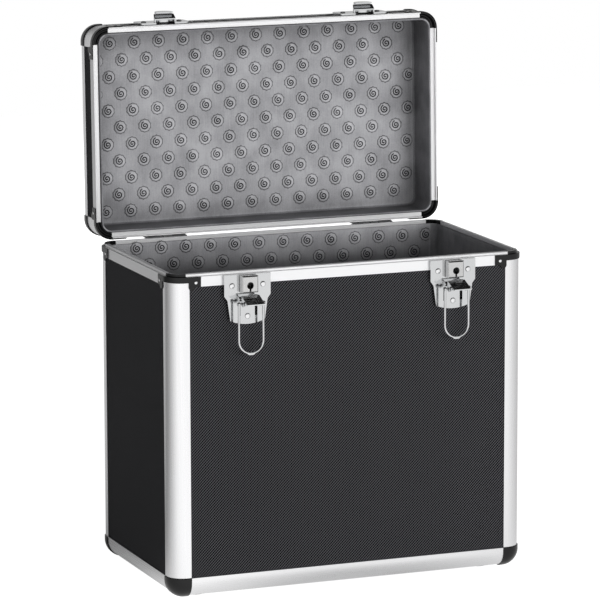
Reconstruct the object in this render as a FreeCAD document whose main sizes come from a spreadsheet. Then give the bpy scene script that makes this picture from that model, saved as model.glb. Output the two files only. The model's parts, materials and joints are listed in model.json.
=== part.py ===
# Record carrying case: an aluminium framed body and lid with two draw latches.
# It is modelled as it stands open, with its origin on the floor under its centre,
# +Z up, the latches at the front on -Y and the hinges at the back on +Y.
# Lengths are millimetres and angles are degrees.

import FreeCAD
import Part
import Sketcher
import math
import os

# Each row is an alias of the sheet, its value and what it measures.
SIZES = [
    ("case_width", 350, "over the outer faces of the left and right rails"),
    ("case_depth", 200, "over the outer faces of the front and back rails"),
    ("body_height", 298.8, "from the underside of the base rails to the rim shoulder"),
    ("lid_height", 46.5, "from the lid's rim plane to the outside of its top rails"),
    ("lid_open_angle", 91.6, "opening of the lid against the stop in its hinges"),
    ("plumb_angle", 90, "opening at which the lid's top is plumb"),
    ("foot_height", 2.5, "clear height under the base rails"),
    ("rim_gap", 0.4, "gap between the body's shoulder and the lid's rim plane"),
    ("rail_leg", 19, "width of a quarter round rail on each face"),
    ("rail_radius", 15.5, "outer radius of a quarter round rail"),
    ("rail_wall", 1.2, "wall of all the aluminium sections"),
    ("panel_thickness", 3, "laminated board"),
    ("panel_play", 0.4, "gap between a panel's edge and the bottom of its groove"),
    ("rim_leg", 9.6, "outer leg of the rim rails"),
    ("rim_web", 1.8, "web of the rim rails over the panel's edge"),
    ("tongue_height", 2.5, "height of the body's tongue over its shoulder"),
    ("tongue_setback", 1.7, "from the outer face to the tongue"),
    ("tongue_lead", 0.5, "chamfer on the tongue"),
    ("tongue_start", 15.9, "from the case's corner to the end of the tongue"),
    ("recess_depth", 2.7, "depth of the lid's recess over the tongue"),
    ("corner_proud", 1, "how far the plastic corners stand out of the rails"),
    ("corner_band", 5.4, "height of the rim corner's band over the post"),
    ("corner_stub_gap", 0.1, "gap between a rim corner and the end of the tongue"),
    ("tab_reach", 29.7, "from the case's corner to the end of a corner tab"),
    ("tab_drop", 9.5, "height of a corner tab"),
    ("lobe_radius", 3.3, "rounded lobe of a corner tab"),
    ("lobe_inset", 21.3, "from the case's corner to the middle of the lobe"),
    ("corner_rivet_inset", 24.7, "from the case's corner to the tab's rivet"),
    ("corner_rivet_drop", 5.4, "from the rim plane to the tab's rivet"),
    ("corner_rivet_radius", 1.6, "head of the tab's rivet"),
    ("corner_rivet_height", 0.7, "head of the tab's rivet"),
    ("ball_wall", 2, "wall of the ball corners"),
    ("lining_gap", 0.3, "clearance of the lining from the frame"),
    ("lining_thickness", 1.8, "embossed foam sheet"),
    ("lining_drop", 0.7, "from the rim plane to the lining's edge"),
    ("foot_radius", 13, "rubber foot"),
    ("foot_taper", 1.5, "how much narrower a foot is on the floor"),
    ("foot_play", 1, "from the rail's edge to the foot"),
    ("latch_inset", 73.5, "from the case's side to each latch's middle"),
    ("plate_lift", 3.5, "face of a latch plate over the rail's face"),
    ("plate_sheet", 0.9, "sheet steel of the latch plates and keepers"),
    ("plate_gap", 0.3, "from the shoulder to the latch plate's top edge"),
    ("plate_half_top", 22.5, "half width of the latch plate's top"),
    ("plate_half_waist", 19.5, "half width of the latch plate under its step"),
    ("plate_half_foot", 16.8, "half width of the latch plate's bottom"),
    ("plate_step_top", 19.8, "from the shoulder to the start of the step"),
    ("plate_step_bottom", 23.8, "from the shoulder to the end of the step"),
    ("plate_side_drop", 42.8, "from the shoulder to the end of the sides"),
    ("plate_drop", 46.2, "from the shoulder to the bottom of the latch plate"),
    ("slot_middle", 8.25, "from the latch's middle to a slot's middle"),
    ("slot_width", 2.4, "slot that takes a lever's flange"),
    ("slot_top", 26, "from the shoulder to the slot's top"),
    ("slot_bottom", 38.4, "from the shoulder to the slot's bottom"),
    ("latch_rivet_offset", 15, "from the latch's middle to the upper rivets"),
    ("latch_rivet_drop", 10.3, "from the shoulder to the upper rivets"),
    ("latch_rivet_low", 38.8, "from the shoulder to the lower rivet"),
    ("latch_rivet_radius", 2.6, "head of a latch rivet"),
    ("latch_rivet_height", 1.1, "head of a latch rivet"),
    ("lock_half", 7.8, "half width of the lock case"),
    ("lock_top", 0.8, "from the shoulder to the lock case's top"),
    ("lock_bottom", 16.4, "from the shoulder to the lock case's bottom"),
    ("lock_height", 7.7, "lock case over the latch plate"),
    ("lock_bevel", 1, "edges of the lock case"),
    ("keyhole_radius", 3.2, "round part of the keyhole"),
    ("keyhole_drop", 9.8, "from the shoulder to the keyhole's middle"),
    ("keyslot_width", 1.6, "slot of the keyhole"),
    ("keyslot_drop", 15.8, "from the shoulder to the slot's end"),
    ("pivot_drop", 22.3, "from the shoulder to the lever's pivot"),
    ("pivot_height", 3, "lever's pivot over the latch plate's face"),
    ("barrel_radius", 2, "round ends of the lever's flanges at its pin"),
    ("lever_pin_radius", 1, "pin of the lever"),
    ("running_play", 0.06, "radial clearance of a pin in its bore"),
    ("lever_width", 17.6, "across the lever"),
    ("lever_length", 20.5, "from the lever's pivot to its tip"),
    ("lever_rise", 4.7, "lever's face over its pivot when it lies flat"),
    ("lever_start", 2.2, "from the pivot to the start of the lever's face"),
    ("lever_sheet", 1.1, "sheet of the lever"),
    ("lever_flare", 1.3, "how far the tip is turned out"),
    ("flare_length", 2.6, "length of the turned tip"),
    ("ridge_height", 0.4, "ridges across the lever"),
    ("ridge_width", 1.2, "ridges across the lever"),
    ("ridge_pitch", 3, "spacing of the ridges"),
    ("ridge_start", 4, "from the pivot to the first ridge"),
    ("flange_depth", 3.2, "how far the lever's flanges reach behind its pivot"),
    ("flange_neck", 1.2, "how far the flanges reach beside the pivot"),
    ("flange_neck_drop", 3.2, "from the pivot to the end of the neck"),
    ("flange_shoulder", 4.9, "from the pivot to the deep part of a flange"),
    ("flange_low", 9.2, "from the pivot to the end of the deep part"),
    ("flange_end", 17, "from the pivot to the end of a flange"),
    ("ear_play", 0.3, "gap between the lever and the plate's ears"),
    ("ear_thickness", 1.1, "ears that hold the lever's pin"),
    ("ear_radius", 2.4, "round end of an ear"),
    ("bail_pin_drop", 6.8, "from the lever's pivot to the bail's pin"),
    ("bail_pin_setback", 1, "how far the bail's pin lies behind the lever's pivot"),
    ("bail_pin_radius", 0.8, "pin of the bail"),
    ("bail_head_radius", 1.4, "head of the bail's pin"),
    ("bail_head_width", 0.5, "head of the bail's pin"),
    ("lever_rest_angle", 68.5, "how far the lever is lifted from flat"),
    ("wire_radius", 1.1, "wire of the bail"),
    ("bail_half", 11.8, "from the bail's middle to its legs"),
    ("bail_length", 46, "from the bail's pin to the middle of its cross wire"),
    ("eye_radius", 1.75, "eye at the end of the bail"),
    ("bail_tab_half", 3.5, "half width of the flattened tab"),
    ("eye_width", 2, "width of an eye"),
    ("bail_tab_out", 1.9, "from the cross wire's middle to the tab's free edge"),
    ("bail_tab_in", 1, "from the cross wire's middle to the tab's inner edge"),
    ("bail_tab_thickness", 1.3, "thickness of the flattened tab"),
    ("keeper_half", 25.2, "half width of a keeper"),
    ("keeper_low", 2.5, "from the lid's rim plane to the keeper"),
    ("keeper_high", 26.6, "from the lid's rim plane to the keeper's far edge"),
    ("keeper_lift", 2, "face of a keeper over the rail's face"),
    ("keeper_rounding", 5, "corners of a keeper"),
    ("hood_play", 0.3, "gap between the bail's wire and the keeper's hood"),
    ("hood_near", 3.5, "from the lid's rim plane to the hood's open front"),
    ("hood_front", 5.6, "height of the hood's open front over the rail's face"),
    ("hood_height", 9.6, "underside of the hood's lip over the rail's face"),
    ("hood_slope_end", 9, "from the lid's rim plane to the end of the slope"),
    ("lip_thickness", 2.2, "lip that holds the bail's wire"),
    ("lip_half", 8.4, "half width of the lip"),
    ("lip_overhang", 1.5, "how far the lip stands over the wire"),
    ("hood_wall", 1.1, "sheet of the hood"),
    ("hinge_offset", 3, "from the back face to the hinge's axis"),
    ("hinge_inset", 69, "from the case's side to each hinge's middle"),
    ("hinge_width", 42, "across a hinge"),
    ("hinge_leaf_height", 20, "from the axis to a leaf's far edge"),
    ("hinge_sheet", 1.2, "sheet of the hinges"),
    ("knuckle_radius", 2.4, "knuckles of the hinges"),
    ("knuckle_gap", 0.3, "gap between neighbouring knuckles"),
    ("hinge_pin_radius", 1.2, "pin of the hinges"),
    ("hinge_rivet_offset", 14, "from a hinge's middle to its outer rivets"),
    ("hinge_rivet_drop", 12, "from the axis to the hinge's rivets"),
    ("handle_half", 55, "from the handle's middle to its arms"),
    ("handle_reach", 32, "from the handle's axis to its grip"),
    ("handle_lift", 9.5, "handle's axis over the lid's top rails"),
    ("bow_radius", 2.5, "rod of the handle"),
    ("bow_bend", 8, "bends of the rod"),
    ("bow_elbow", 3, "bends of the rod beside its brackets"),
    ("bow_stub", 12, "from an arm to the end of the rod"),
    ("lug_start", 3, "from an arm to the bracket's lug"),
    ("lug_thickness", 5, "lug of a bracket"),
    ("lug_radius", 5.5, "round end of a lug"),
    ("bracket_long", 30, "bracket's foot along the handle"),
    ("bracket_wide", 22, "bracket's foot across the handle"),
    ("bracket_foot", 1.6, "thickness of the bracket's foot"),
    ("grip_play", 3, "from the bow's bends to the grip"),
    ("grip_radius", 8, "middle of the grip"),
    ("grip_neck", 6.2, "radius of the grip at its ends"),
    ("rivet_taper", 45, "slope of the rivet heads"),
    ("ball_bevel", 8.5, "bevels inside the ball corners"),
    ("overrun", 1, "extra length of every cut"),
]


class Length:
    """A size with the sheet's expression that gives it."""

    def __init__(self, value, text):
        self.value = float(value)
        self.text = text

    def __add__(self, other):
        other = length(other)
        return Length(self.value + other.value, f"({self.text} + {other.text})")

    def __sub__(self, other):
        other = length(other)
        return Length(self.value - other.value, f"({self.text} - {other.text})")

    def __mul__(self, other):
        other = length(other)
        return Length(self.value * other.value, f"({self.text} * {other.text})")

    def __truediv__(self, other):
        other = length(other)
        return Length(self.value / other.value, f"({self.text} / {other.text})")

    def __neg__(self):
        return Length(-self.value, f"(0 - {self.text})")


def length(value):
    if isinstance(value, Length):
        return value
    return Length(value, format(value, "g"))


def root(value):
    return Length(math.sqrt(value.value), f"sqrt({value.text})")


def sine(angle):
    return Length(math.sin(math.radians(angle.value)), f"sin({angle.text})")


def cosine(angle):
    return Length(math.cos(math.radians(angle.value)), f"cos({angle.text})")


class Sheet:
    """The named sizes, one attribute for each row of the table."""


doc = FreeCAD.newDocument("record_case")
sheet = doc.addObject("Spreadsheet::Sheet", "Sizes")
s = Sheet()
for row, (alias, value, note) in enumerate(SIZES, 1):
    sheet.set(f"A{row}", alias)
    sheet.set(f"B{row}", str(value))
    sheet.set(f"C{row}", note)
    sheet.setAlias(f"B{row}", alias)
    setattr(s, alias, Length(value, f"Sizes.{alias}"))
doc.recompute()

nodes = []

# Sizes worked out from the table.
half_width = s.case_width / 2
half_depth = s.case_depth / 2
base_z = s.foot_height
rim_z = base_z + s.body_height
lid_z = rim_z + s.rim_gap
top_z = lid_z + s.lid_height
hinge_y = half_depth + s.hinge_offset
wall = s.rail_wall * 2 + s.panel_thickness
groove_inner = s.rail_wall + s.panel_thickness
panel_inset = s.rail_radius + s.panel_play
lining_offset = wall + s.lining_gap
pivot_out = s.plate_lift + s.pivot_height
pivot_z = rim_z - s.pivot_drop
hood_radius = s.bail_half - s.wire_radius - s.hood_play
grip_half = s.handle_half - s.bow_bend - s.grip_play

# The case's corners seen from above, with the turn that brings a corner piece there.
CORNERS = [
    ("front_left", -1, -1, 0),
    ("front_right", 1, -1, 90),
    ("back_right", 1, 1, 180),
    ("back_left", -1, 1, 270),
]
# The four sides: a rail starts at the corner of the same row and runs to the next.
SIDES = ["front", "right", "back", "left"]
LATCHES = [("left", -1), ("right", 1)]


# Placements as expressions, so that each piece follows the sheet.
def move(x, y, z):
    x, y, z = length(x), length(y), length(z)
    return f"placement(vector({x.text}; {y.text}; {z.text}); rotation(vector(0; 0; 1); 0))"


def turn(axis, angle):
    return f"placement(vector(0; 0; 0); rotation(vector({axis}); {length(angle).text}))"


def swing(y, z, angle):
    """Turn about the line along X through y and z."""
    return [move(0, y, z), turn("1; 0; 0", angle), move(0, -length(y), -length(z))]


LID = swing(hinge_y, lid_z, -s.lid_open_angle)


def place(piece, steps):
    if steps:
        piece.setExpression("Placement", " * ".join(steps))


def node(piece, label):
    piece.Label = label
    nodes.append(piece)
    return piece


# Sketches and features.
def new_body(name):
    return doc.addObject("PartDesign::Body", name)


def plane_of(body, role):
    return [f for f in body.Origin.OriginFeatures if f.Role == role][0]


def arc(start, end, radius, side):
    """Centre and angles of an arc, counter-clockwise for a side of +1."""
    (x0, y0), (x1, y1) = (start, end) if side > 0 else (end, start)
    dx, dy = x1 - x0, y1 - y0
    chord = math.hypot(dx, dy)
    rise = math.sqrt(max(radius * radius - chord * chord / 4, 0))
    cx = (x0 + x1) / 2 - dy / chord * rise
    cy = (y0 + y1) / 2 + dx / chord * rise
    begin = math.atan2(y0 - cy, x0 - cx)
    finish = math.atan2(y1 - cy, x1 - cx)
    if finish <= begin:
        finish += math.tau
    centre = FreeCAD.Vector(cx, cy, 0)
    circle = Part.Circle(centre, FreeCAD.Vector(0, 0, 1), radius)
    return Part.ArcOfCircle(circle, begin, finish)


def draw(body, name, role, wires, offset=0, closed=True):
    """A fully constrained sketch.

    A wire is a list of corners (u, v) or (u, v, radius, side), where the radius and
    side bend the edge that leaves that corner, or one (u, v, radius) for a circle.
    """
    sketch = body.newObject("Sketcher::SketchObject", name)
    sketch.AttachmentSupport = [(plane_of(body, role), "")]
    sketch.MapMode = "FlatFace"
    offset = length(offset)
    sketch.AttachmentOffset.Base.z = offset.value
    sketch.setExpression("AttachmentOffset.Base.z", offset.text)
    bound = []
    rules = []

    def dimension(kind, *where, size):
        size = length(size)
        rules.append(Sketcher.Constraint(kind, *where, size.value))
        bound.append((len(rules) - 1, size))

    count = 0
    for wire in wires:
        if len(wire) == 1:
            u, v, radius = (length(x) for x in wire[0])
            centre = FreeCAD.Vector(u.value, v.value, 0)
            sketch.addGeometry(Part.Circle(centre, FreeCAD.Vector(0, 0, 1), radius.value))
            dimension("DistanceX", -1, 1, count, 3, size=u)
            dimension("DistanceY", -1, 1, count, 3, size=v)
            dimension("Radius", count, size=radius)
            count += 1
            continue
        corners = [[length(c[0]), length(c[1]), *c[2:]] for c in wire]
        places = [(c[0].value, c[1].value) for c in corners]
        edges = len(corners) if closed else len(corners) - 1
        ends = []
        for i in range(edges):
            start = places[i]
            end = places[(i + 1) % len(places)]
            if len(corners[i]) > 2:
                radius, side = length(corners[i][2]), corners[i][3]
                sketch.addGeometry(arc(start, end, radius.value, side))
                dimension("Radius", count + i, size=radius)
                ends.append((1, 2) if side > 0 else (2, 1))
            else:
                a = FreeCAD.Vector(*start, 0)
                b = FreeCAD.Vector(*end, 0)
                sketch.addGeometry(Part.LineSegment(a, b))
                ends.append((1, 2))
        for i in range(edges):
            u, v = corners[i][:2]
            dimension("DistanceX", -1, 1, count + i, ends[i][0], size=u)
            dimension("DistanceY", -1, 1, count + i, ends[i][0], size=v)
            if i + 1 < edges or closed:
                following = (i + 1) % edges
                rules.append(
                    Sketcher.Constraint(
                        "Coincident", count + i, ends[i][1], count + following, ends[following][0]
                    )
                )
        if not closed:
            last = edges - 1
            u, v = corners[-1][:2]
            dimension("DistanceX", -1, 1, count + last, ends[last][1], size=u)
            dimension("DistanceY", -1, 1, count + last, ends[last][1], size=v)
        count += edges
    sketch.addConstraint(rules)
    for index, size in bound:
        if "Sizes" in size.text:
            sketch.renameConstraint(index, f"size{index}")
            sketch.setExpression(f"Constraints.size{index}", size.text)
    return sketch


def pad(body, name, role, wires, depth, offset=0, back=False, middle=False):
    feature = body.newObject("PartDesign::Pad", name)
    feature.Profile = draw(body, name + "_outline", role, wires, offset)
    feature.setExpression("Length", length(depth).text)
    feature.Reversed = back
    feature.Midplane = middle
    return feature


def pocket(body, name, role, wires, depth, offset=0, back=False, middle=False):
    """A cut along the sketch's normal, or against it with back, that must remove metal."""
    doc.recompute()
    before = body.Shape.Volume
    feature = body.newObject("PartDesign::Pocket", name)
    feature.Profile = draw(body, name + "_outline", role, wires, offset)
    feature.setExpression("Length", length(depth).text)
    feature.Reversed = not back
    feature.Midplane = middle
    doc.recompute()
    if body.Shape.Volume >= before:
        raise RuntimeError(f"{name} cut nothing")
    return feature


def rectangle(u0, v0, u1, v1):
    return [(u0, v0), (u1, v0), (u1, v1), (u0, v1)]


def bevelled_rectangle(u0, v0, u1, v1, bevel):
    return [
        (u0 + bevel, v0),
        (u1 - bevel, v0),
        (u1, v0 + bevel),
        (u1, v1 - bevel),
        (u1 - bevel, v1),
        (u0 + bevel, v1),
        (u0, v1 - bevel),
        (u0, v0 + bevel),
    ]


def rounded_rectangle(u0, v0, u1, v1, radius):
    return [
        (u0 + radius, v0),
        (u1 - radius, v0, radius, 1),
        (u1, v0 + radius),
        (u1, v1 - radius, radius, 1),
        (u1 - radius, v1),
        (u0 + radius, v1, radius, 1),
        (u0, v1 - radius),
        (u0, v0 + radius, radius, 1),
    ]


def many_sided(u, v, radius, sides):
    """A regular outline with its corners on a circle."""
    angles = [length(360 * (side + 0.5) / sides) for side in range(sides)]
    return [(u + radius * cosine(angle), v + radius * sine(angle)) for angle in angles]


def group(pieces, label, steps):
    """One node of separate solids."""
    compound = doc.addObject("Part::Compound", label)
    compound.Links = pieces
    place(compound, steps)
    return node(compound, label)


def copy_of(piece, steps):
    link = doc.addObject("App::Link", piece.Name + "_copy")
    link.LinkedObject = piece
    link.LinkTransform = False
    place(link, steps)
    return link


# Aluminium quarter round section with a groove for a panel in each leg.
def quarter_round(label, run):
    leg, radius, skin, inner = s.rail_leg, s.rail_radius, s.rail_wall, groove_inner
    bore = radius - skin
    web = radius - skin
    meet = radius - root(bore * bore - skin * skin)
    body = new_body(label)
    outline = [
        (leg, 0),
        (radius, 0, radius, -1),
        (0, radius),
        (0, leg),
        (skin, leg),
        (skin, radius),
        (inner, radius),
        (inner, leg),
        (wall, leg),
        (wall, web),
        (meet, web, bore, 1),
        (web, meet),
        (web, wall),
        (leg, wall),
        (leg, inner),
        (radius, inner),
        (radius, skin),
        (leg, skin),
    ]
    pad(body, "section", "XY_Plane", [outline], run)
    return body


def corner_place(index, z):
    name, x, y, angle = CORNERS[index]
    return [move(half_width * x, half_depth * y, z), turn("0; 0; 1", angle)]


def side_run(index):
    return s.case_width if index % 2 == 0 else s.case_depth


# Rails and corner posts of the body.
for index, (name, x, y, angle) in enumerate(CORNERS):
    post = quarter_round(f"corner_post_{name}", s.body_height - s.rail_leg - s.corner_band)
    place(post, corner_place(index, base_z + s.rail_leg))
    node(post, f"corner_post_{name}")

for index, side in enumerate(SIDES):
    rail = quarter_round(f"base_rail_{side}", side_run(index) - s.rail_leg * 2)
    place(rail, corner_place(index, base_z) + [move(s.rail_leg, 0, 0), turn("1; 1; 1", 120)])
    node(rail, f"base_rail_{side}")
    rail = quarter_round(f"lid_top_rail_{side}", side_run(index) - s.rail_leg * 2)
    place(rail, LID + corner_place(index, top_z) + [move(s.rail_leg, 0, 0), turn("0; 1; 0", 90)])
    node(rail, f"lid_top_rail_{side}")


# Rim rails: the body's carries a tongue, the lid's a recess that drops over it.
def rim_rail(label, run, for_lid):
    leg, skin, inner, web = s.rim_leg, s.rail_wall, groove_inner, s.rim_web
    stub = s.rail_leg - s.tongue_start
    body = new_body(label)
    if for_lid:
        floor = s.recess_depth
        bottom = floor + web
        mouth = [(0, 0), (skin, 0), (skin, floor), (wall, floor)]
        outline = mouth + [
            (wall, leg),
            (inner, leg),
            (inner, bottom),
            (skin, bottom),
            (skin, leg),
            (0, leg),
        ]
        cap = mouth + [(wall, bottom), (0, bottom)]
    else:
        crown = [
            (wall, s.tongue_height),
            (s.tongue_setback + s.tongue_lead, s.tongue_height),
            (s.tongue_setback, s.tongue_height - s.tongue_lead),
            (s.tongue_setback, 0),
            (0, 0),
        ]
        outline = crown + [
            (0, -leg),
            (skin, -leg),
            (skin, -web),
            (inner, -web),
            (inner, -leg),
            (wall, -leg),
        ]
        cap = crown + [(0, -web), (wall, -web)]
    pad(body, "section", "XY_Plane", [outline], run - s.rail_leg * 2)
    pad(body, "cap", "XY_Plane", [cap], run - s.tongue_start * 2, offset=-stub)
    return body


for index, side in enumerate(SIDES):
    along = [move(s.rail_leg, 0, 0), turn("1; 1; 1", 120)]
    rail = rim_rail(f"rim_rail_{side}", side_run(index), False)
    place(rail, corner_place(index, rim_z) + along)
    node(rail, f"rim_rail_{side}")
    rail = rim_rail(f"lid_rim_rail_{side}", side_run(index), True)
    place(rail, LID + corner_place(index, lid_z) + along)
    node(rail, f"lid_rim_rail_{side}")


# Panels, seated in the grooves of the rails.
def panel(label, across, high, steps):
    board = doc.addObject("Part::Box", label)
    board.setExpression("Length", across.text)
    board.setExpression("Width", s.panel_thickness.text)
    board.setExpression("Height", high.text)
    place(board, steps)
    return node(board, label)


body_panel_high = s.body_height - panel_inset - s.rim_web - s.panel_play
lid_panel_low = s.recess_depth + s.rim_web + s.panel_play
lid_panel_high = s.lid_height - panel_inset - lid_panel_low
for index, side in enumerate(SIDES):
    across = side_run(index) - panel_inset * 2
    seat = [move(panel_inset, s.rail_wall, 0)]
    panel(f"{side}_panel", across, body_panel_high, corner_place(index, base_z + panel_inset) + seat)
    panel(
        f"lid_{side}_panel",
        across,
        lid_panel_high,
        LID + corner_place(index, lid_z + lid_panel_low) + seat,
    )
for label, steps, z in [
    ("bottom_panel", [], base_z + s.rail_wall),
    ("lid_top_panel", LID, top_z - s.rail_wall - s.panel_thickness),
]:
    board = doc.addObject("Part::Box", label)
    board.setExpression("Length", (s.case_width - panel_inset * 2).text)
    board.setExpression("Width", (s.case_depth - panel_inset * 2).text)
    board.setExpression("Height", s.panel_thickness.text)
    place(board, steps + [move(panel_inset - half_width, panel_inset - half_depth, z)])
    node(board, label)


# Plastic ball corners: a cube with three rounded edges, hollow from the inside.
def low_edges(shape, low):
    """The edges that lie at the low value of two of the three axes."""
    found = []
    for number, edge in enumerate(shape.Edges, 1):
        middle = edge.CenterOfMass
        if sum(abs(middle[i] - low) < Part.Precision.confusion() for i in range(3)) == 2:
            found.append(f"Edge{number}")
    return found


def ball_corner(name):
    proud, leg = s.corner_proud, s.rail_leg
    block = new_body(name + "_block")
    cube = pad(block, "cube", "XY_Plane", [rectangle(-proud, -proud, leg, leg)], leg + proud, -proud)
    doc.recompute()
    rounding = block.newObject("PartDesign::Fillet", "rounding")
    rounding.Base = (cube, low_edges(cube.Shape, -proud.value))
    rounding.setExpression("Radius", (s.rail_radius + proud).text)
    inner, far = s.ball_wall - proud, leg + s.overrun
    cavity = new_body(name + "_cavity")
    space = pad(cavity, "space", "XY_Plane", [rectangle(inner, inner, far, far)], far - inner, inner)
    doc.recompute()
    bevel = cavity.newObject("PartDesign::Chamfer", "bevel")
    bevel.Base = (space, low_edges(space.Shape, inner.value))
    bevel.setExpression("Size", s.ball_bevel.text)
    corner = doc.addObject("Part::Cut", name)
    corner.Base, corner.Tool = block, cavity
    return corner


ball = ball_corner("ball_corner")
group([copy_of(ball, corner_place(i, base_z)) for i in range(4)], "base_corners", [])
group(
    [copy_of(ball, corner_place(i, top_z) + [turn("1; 0; 0", -90)]) for i in range(4)],
    "lid_ball_corners",
    LID,
)

# Short posts at the lid's corners.
lid_post = quarter_round("lid_post", s.lid_height - s.rail_leg - s.corner_band)
group(
    [copy_of(lid_post, corner_place(i, lid_z + s.corner_band)) for i in range(4)],
    "lid_corner_posts",
    LID,
)


# Plastic corners of the rims: a curved band over the post with two riveted tabs.
def rim_corner(name, for_lid):
    """Side is +1 where the band rises from the rim plane and -1 where it hangs from it."""
    side = 1 if for_lid else -1
    radius, proud = s.rail_radius, s.corner_proud
    reach = s.tongue_start - s.corner_stub_gap
    body = new_body(name)

    def ring(outer, inner):
        """Quarter ring with two straight stubs, between two offsets from the outer faces."""
        return [
            (reach, outer),
            (radius, outer, radius - outer, -1),
            (outer, radius),
            (outer, reach),
            (inner, reach),
            (inner, radius, radius - inner, 1),
            (radius, inner),
            (reach, inner),
        ]

    pad(body, "band", "XY_Plane", [ring(-proud, wall)], s.corner_band, back=not for_lid)
    drop = s.tab_drop * side
    start = s.lobe_inset - s.lobe_radius
    end = s.lobe_inset + s.lobe_radius
    tab = [
        (radius, 0),
        (s.tab_reach, 0),
        (s.tab_reach, drop),
        (end, drop, s.lobe_radius, side),
        (s.lobe_inset, drop + s.lobe_radius * side, s.lobe_radius, side),
        (start, drop),
        (start, s.corner_band * side),
        (radius, s.corner_band * side),
    ]
    pad(body, "front_tab", "XZ_Plane", [tab], proud)
    pad(body, "side_tab", "YZ_Plane", [tab], proud, back=True)
    if for_lid:
        lip = s.rail_wall
        pocket(body, "recess", "XY_Plane", [ring(lip, wall + s.overrun)], s.recess_depth)
    else:
        pad(body, "tongue", "XY_Plane", [ring(s.tongue_setback, wall)], s.tongue_height)
    return body


body_corner = rim_corner("body_rim_corner", False)
lid_corner = rim_corner("lid_rim_corner", True)
group([copy_of(body_corner, corner_place(i, rim_z)) for i in range(4)], "rim_corners", [])
group([copy_of(lid_corner, corner_place(i, lid_z)) for i in range(4)], "lid_rim_corners", LID)


# Foam linings: a tray in the body and another, mouth down, in the lid.
def lining(label, low, high, floor_low, steps):
    offset, thick = lining_offset, s.lining_thickness
    radius = s.rail_radius - offset
    body = new_body(label)
    outer = rounded_rectangle(
        offset - half_width, offset - half_depth, half_width - offset, half_depth - offset, radius
    )
    inset = offset + thick
    inner = rounded_rectangle(
        inset - half_width, inset - half_depth, half_width - inset, half_depth - inset, radius - thick
    )
    pad(body, "block", "XY_Plane", [outer], high - low, low)
    cut = high - low - thick + s.overrun
    if floor_low:
        pocket(body, "inside", "XY_Plane", [inner], cut, low + thick)
    else:
        pocket(body, "inside", "XY_Plane", [inner], cut, low - s.overrun)
    place(body, steps)
    return node(body, label)


lining("body_lining", base_z + lining_offset, rim_z - s.lining_drop, True, [])
lining("lid_lining", lid_z + s.lining_drop, top_z - lining_offset, False, LID)

# Rubber feet under the bottom panel, a little narrower on the floor.
foot = doc.addObject("Part::Cone", "foot")
foot.setExpression("Radius1", (s.foot_radius - s.foot_taper).text)
foot.setExpression("Radius2", s.foot_radius.text)
foot.setExpression("Height", (s.foot_height + s.rail_wall).text)
foot_inset = s.rail_leg + s.foot_play + s.foot_radius
group(
    [copy_of(foot, corner_place(i, 0) + [move(foot_inset, foot_inset, 0)]) for i in range(4)],
    "feet",
    [],
)


# Rivet heads, rising along their own Z. They repeat, so each has few faces.
RIVET_SIDES = 12


def rivet(name, radius, height):
    body = new_body(name)
    outline = many_sided(length(0), length(0), radius, RIVET_SIDES)
    head = pad(body, name + "_head", "XY_Plane", [outline], height)
    head.setExpression("TaperAngle", (-s.rivet_taper).text)
    return body


small_rivet = rivet("small_rivet", s.corner_rivet_radius, s.corner_rivet_height)
large_rivet = rivet("large_rivet", s.latch_rivet_radius, s.latch_rivet_height)


def corner_rivets(z, side):
    """Two rivets for each corner's tabs."""
    drop = s.corner_rivet_drop * side
    found = []
    for index in range(4):
        inset = s.corner_rivet_inset
        front = [move(inset, -s.corner_proud, drop), turn("1; 0; 0", 90)]
        flank = [move(-s.corner_proud, inset, drop), turn("0; 1; 0", -90)]
        for way in (front, flank):
            found.append(copy_of(small_rivet, corner_place(index, z) + way))
    return found


# Latch plates: raised trays of sheet steel with two ears and the lever's pin riveted in them.
def latch_x(way):
    return (half_width - s.latch_inset) * way


def latch_plate(label):
    lift, sheet_steel = s.plate_lift, s.plate_sheet
    top, foot_half = -s.plate_gap, s.plate_half_foot
    rise = s.plate_drop - s.plate_side_drop
    curve = (foot_half * foot_half + rise * rise) / (rise * 2)

    def shape(inset):
        return [
            (-(s.plate_half_top - inset), top - inset),
            (-(s.plate_half_top - inset), -s.plate_step_top),
            (-(s.plate_half_waist - inset), -s.plate_step_bottom),
            (-(foot_half - inset), -s.plate_side_drop, curve, 1),
            (foot_half - inset, -s.plate_side_drop),
            (s.plate_half_waist - inset, -s.plate_step_bottom),
            (s.plate_half_top - inset, -s.plate_step_top),
            (s.plate_half_top - inset, top - inset),
        ]

    body = new_body(label)
    pad(body, "tray", "XZ_Plane", [shape(length(0))], lift)
    pocket(body, "hollow", "XZ_Plane", [shape(sheet_steel)], lift - sheet_steel)
    half = s.slot_width / 2
    slots = [
        rectangle(s.slot_middle * way - half, -s.slot_bottom, s.slot_middle * way + half, -s.slot_top)
        for way in (-1, 1)
    ]
    pocket(body, "slots", "XZ_Plane", slots, lift + s.overrun)
    near = s.lever_width / 2 + s.ear_play
    ear = [
        (-(lift - sheet_steel / 2), -s.pivot_drop - s.ear_radius),
        (-(lift - sheet_steel / 2), -s.pivot_drop + s.ear_radius),
        (-pivot_out, -s.pivot_drop + s.ear_radius, s.ear_radius, 1),
        (-pivot_out - s.ear_radius, -s.pivot_drop, s.ear_radius, 1),
        (-pivot_out, -s.pivot_drop - s.ear_radius),
    ]
    pad(body, "right_ear", "YZ_Plane", [ear], s.ear_thickness, near)
    pad(body, "left_ear", "YZ_Plane", [ear], s.ear_thickness, -near, back=True)
    pin = [(-pivot_out, -s.pivot_drop, s.lever_pin_radius)]
    pad(body, "pin", "YZ_Plane", [pin], near * 2, middle=True)
    return body


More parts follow.
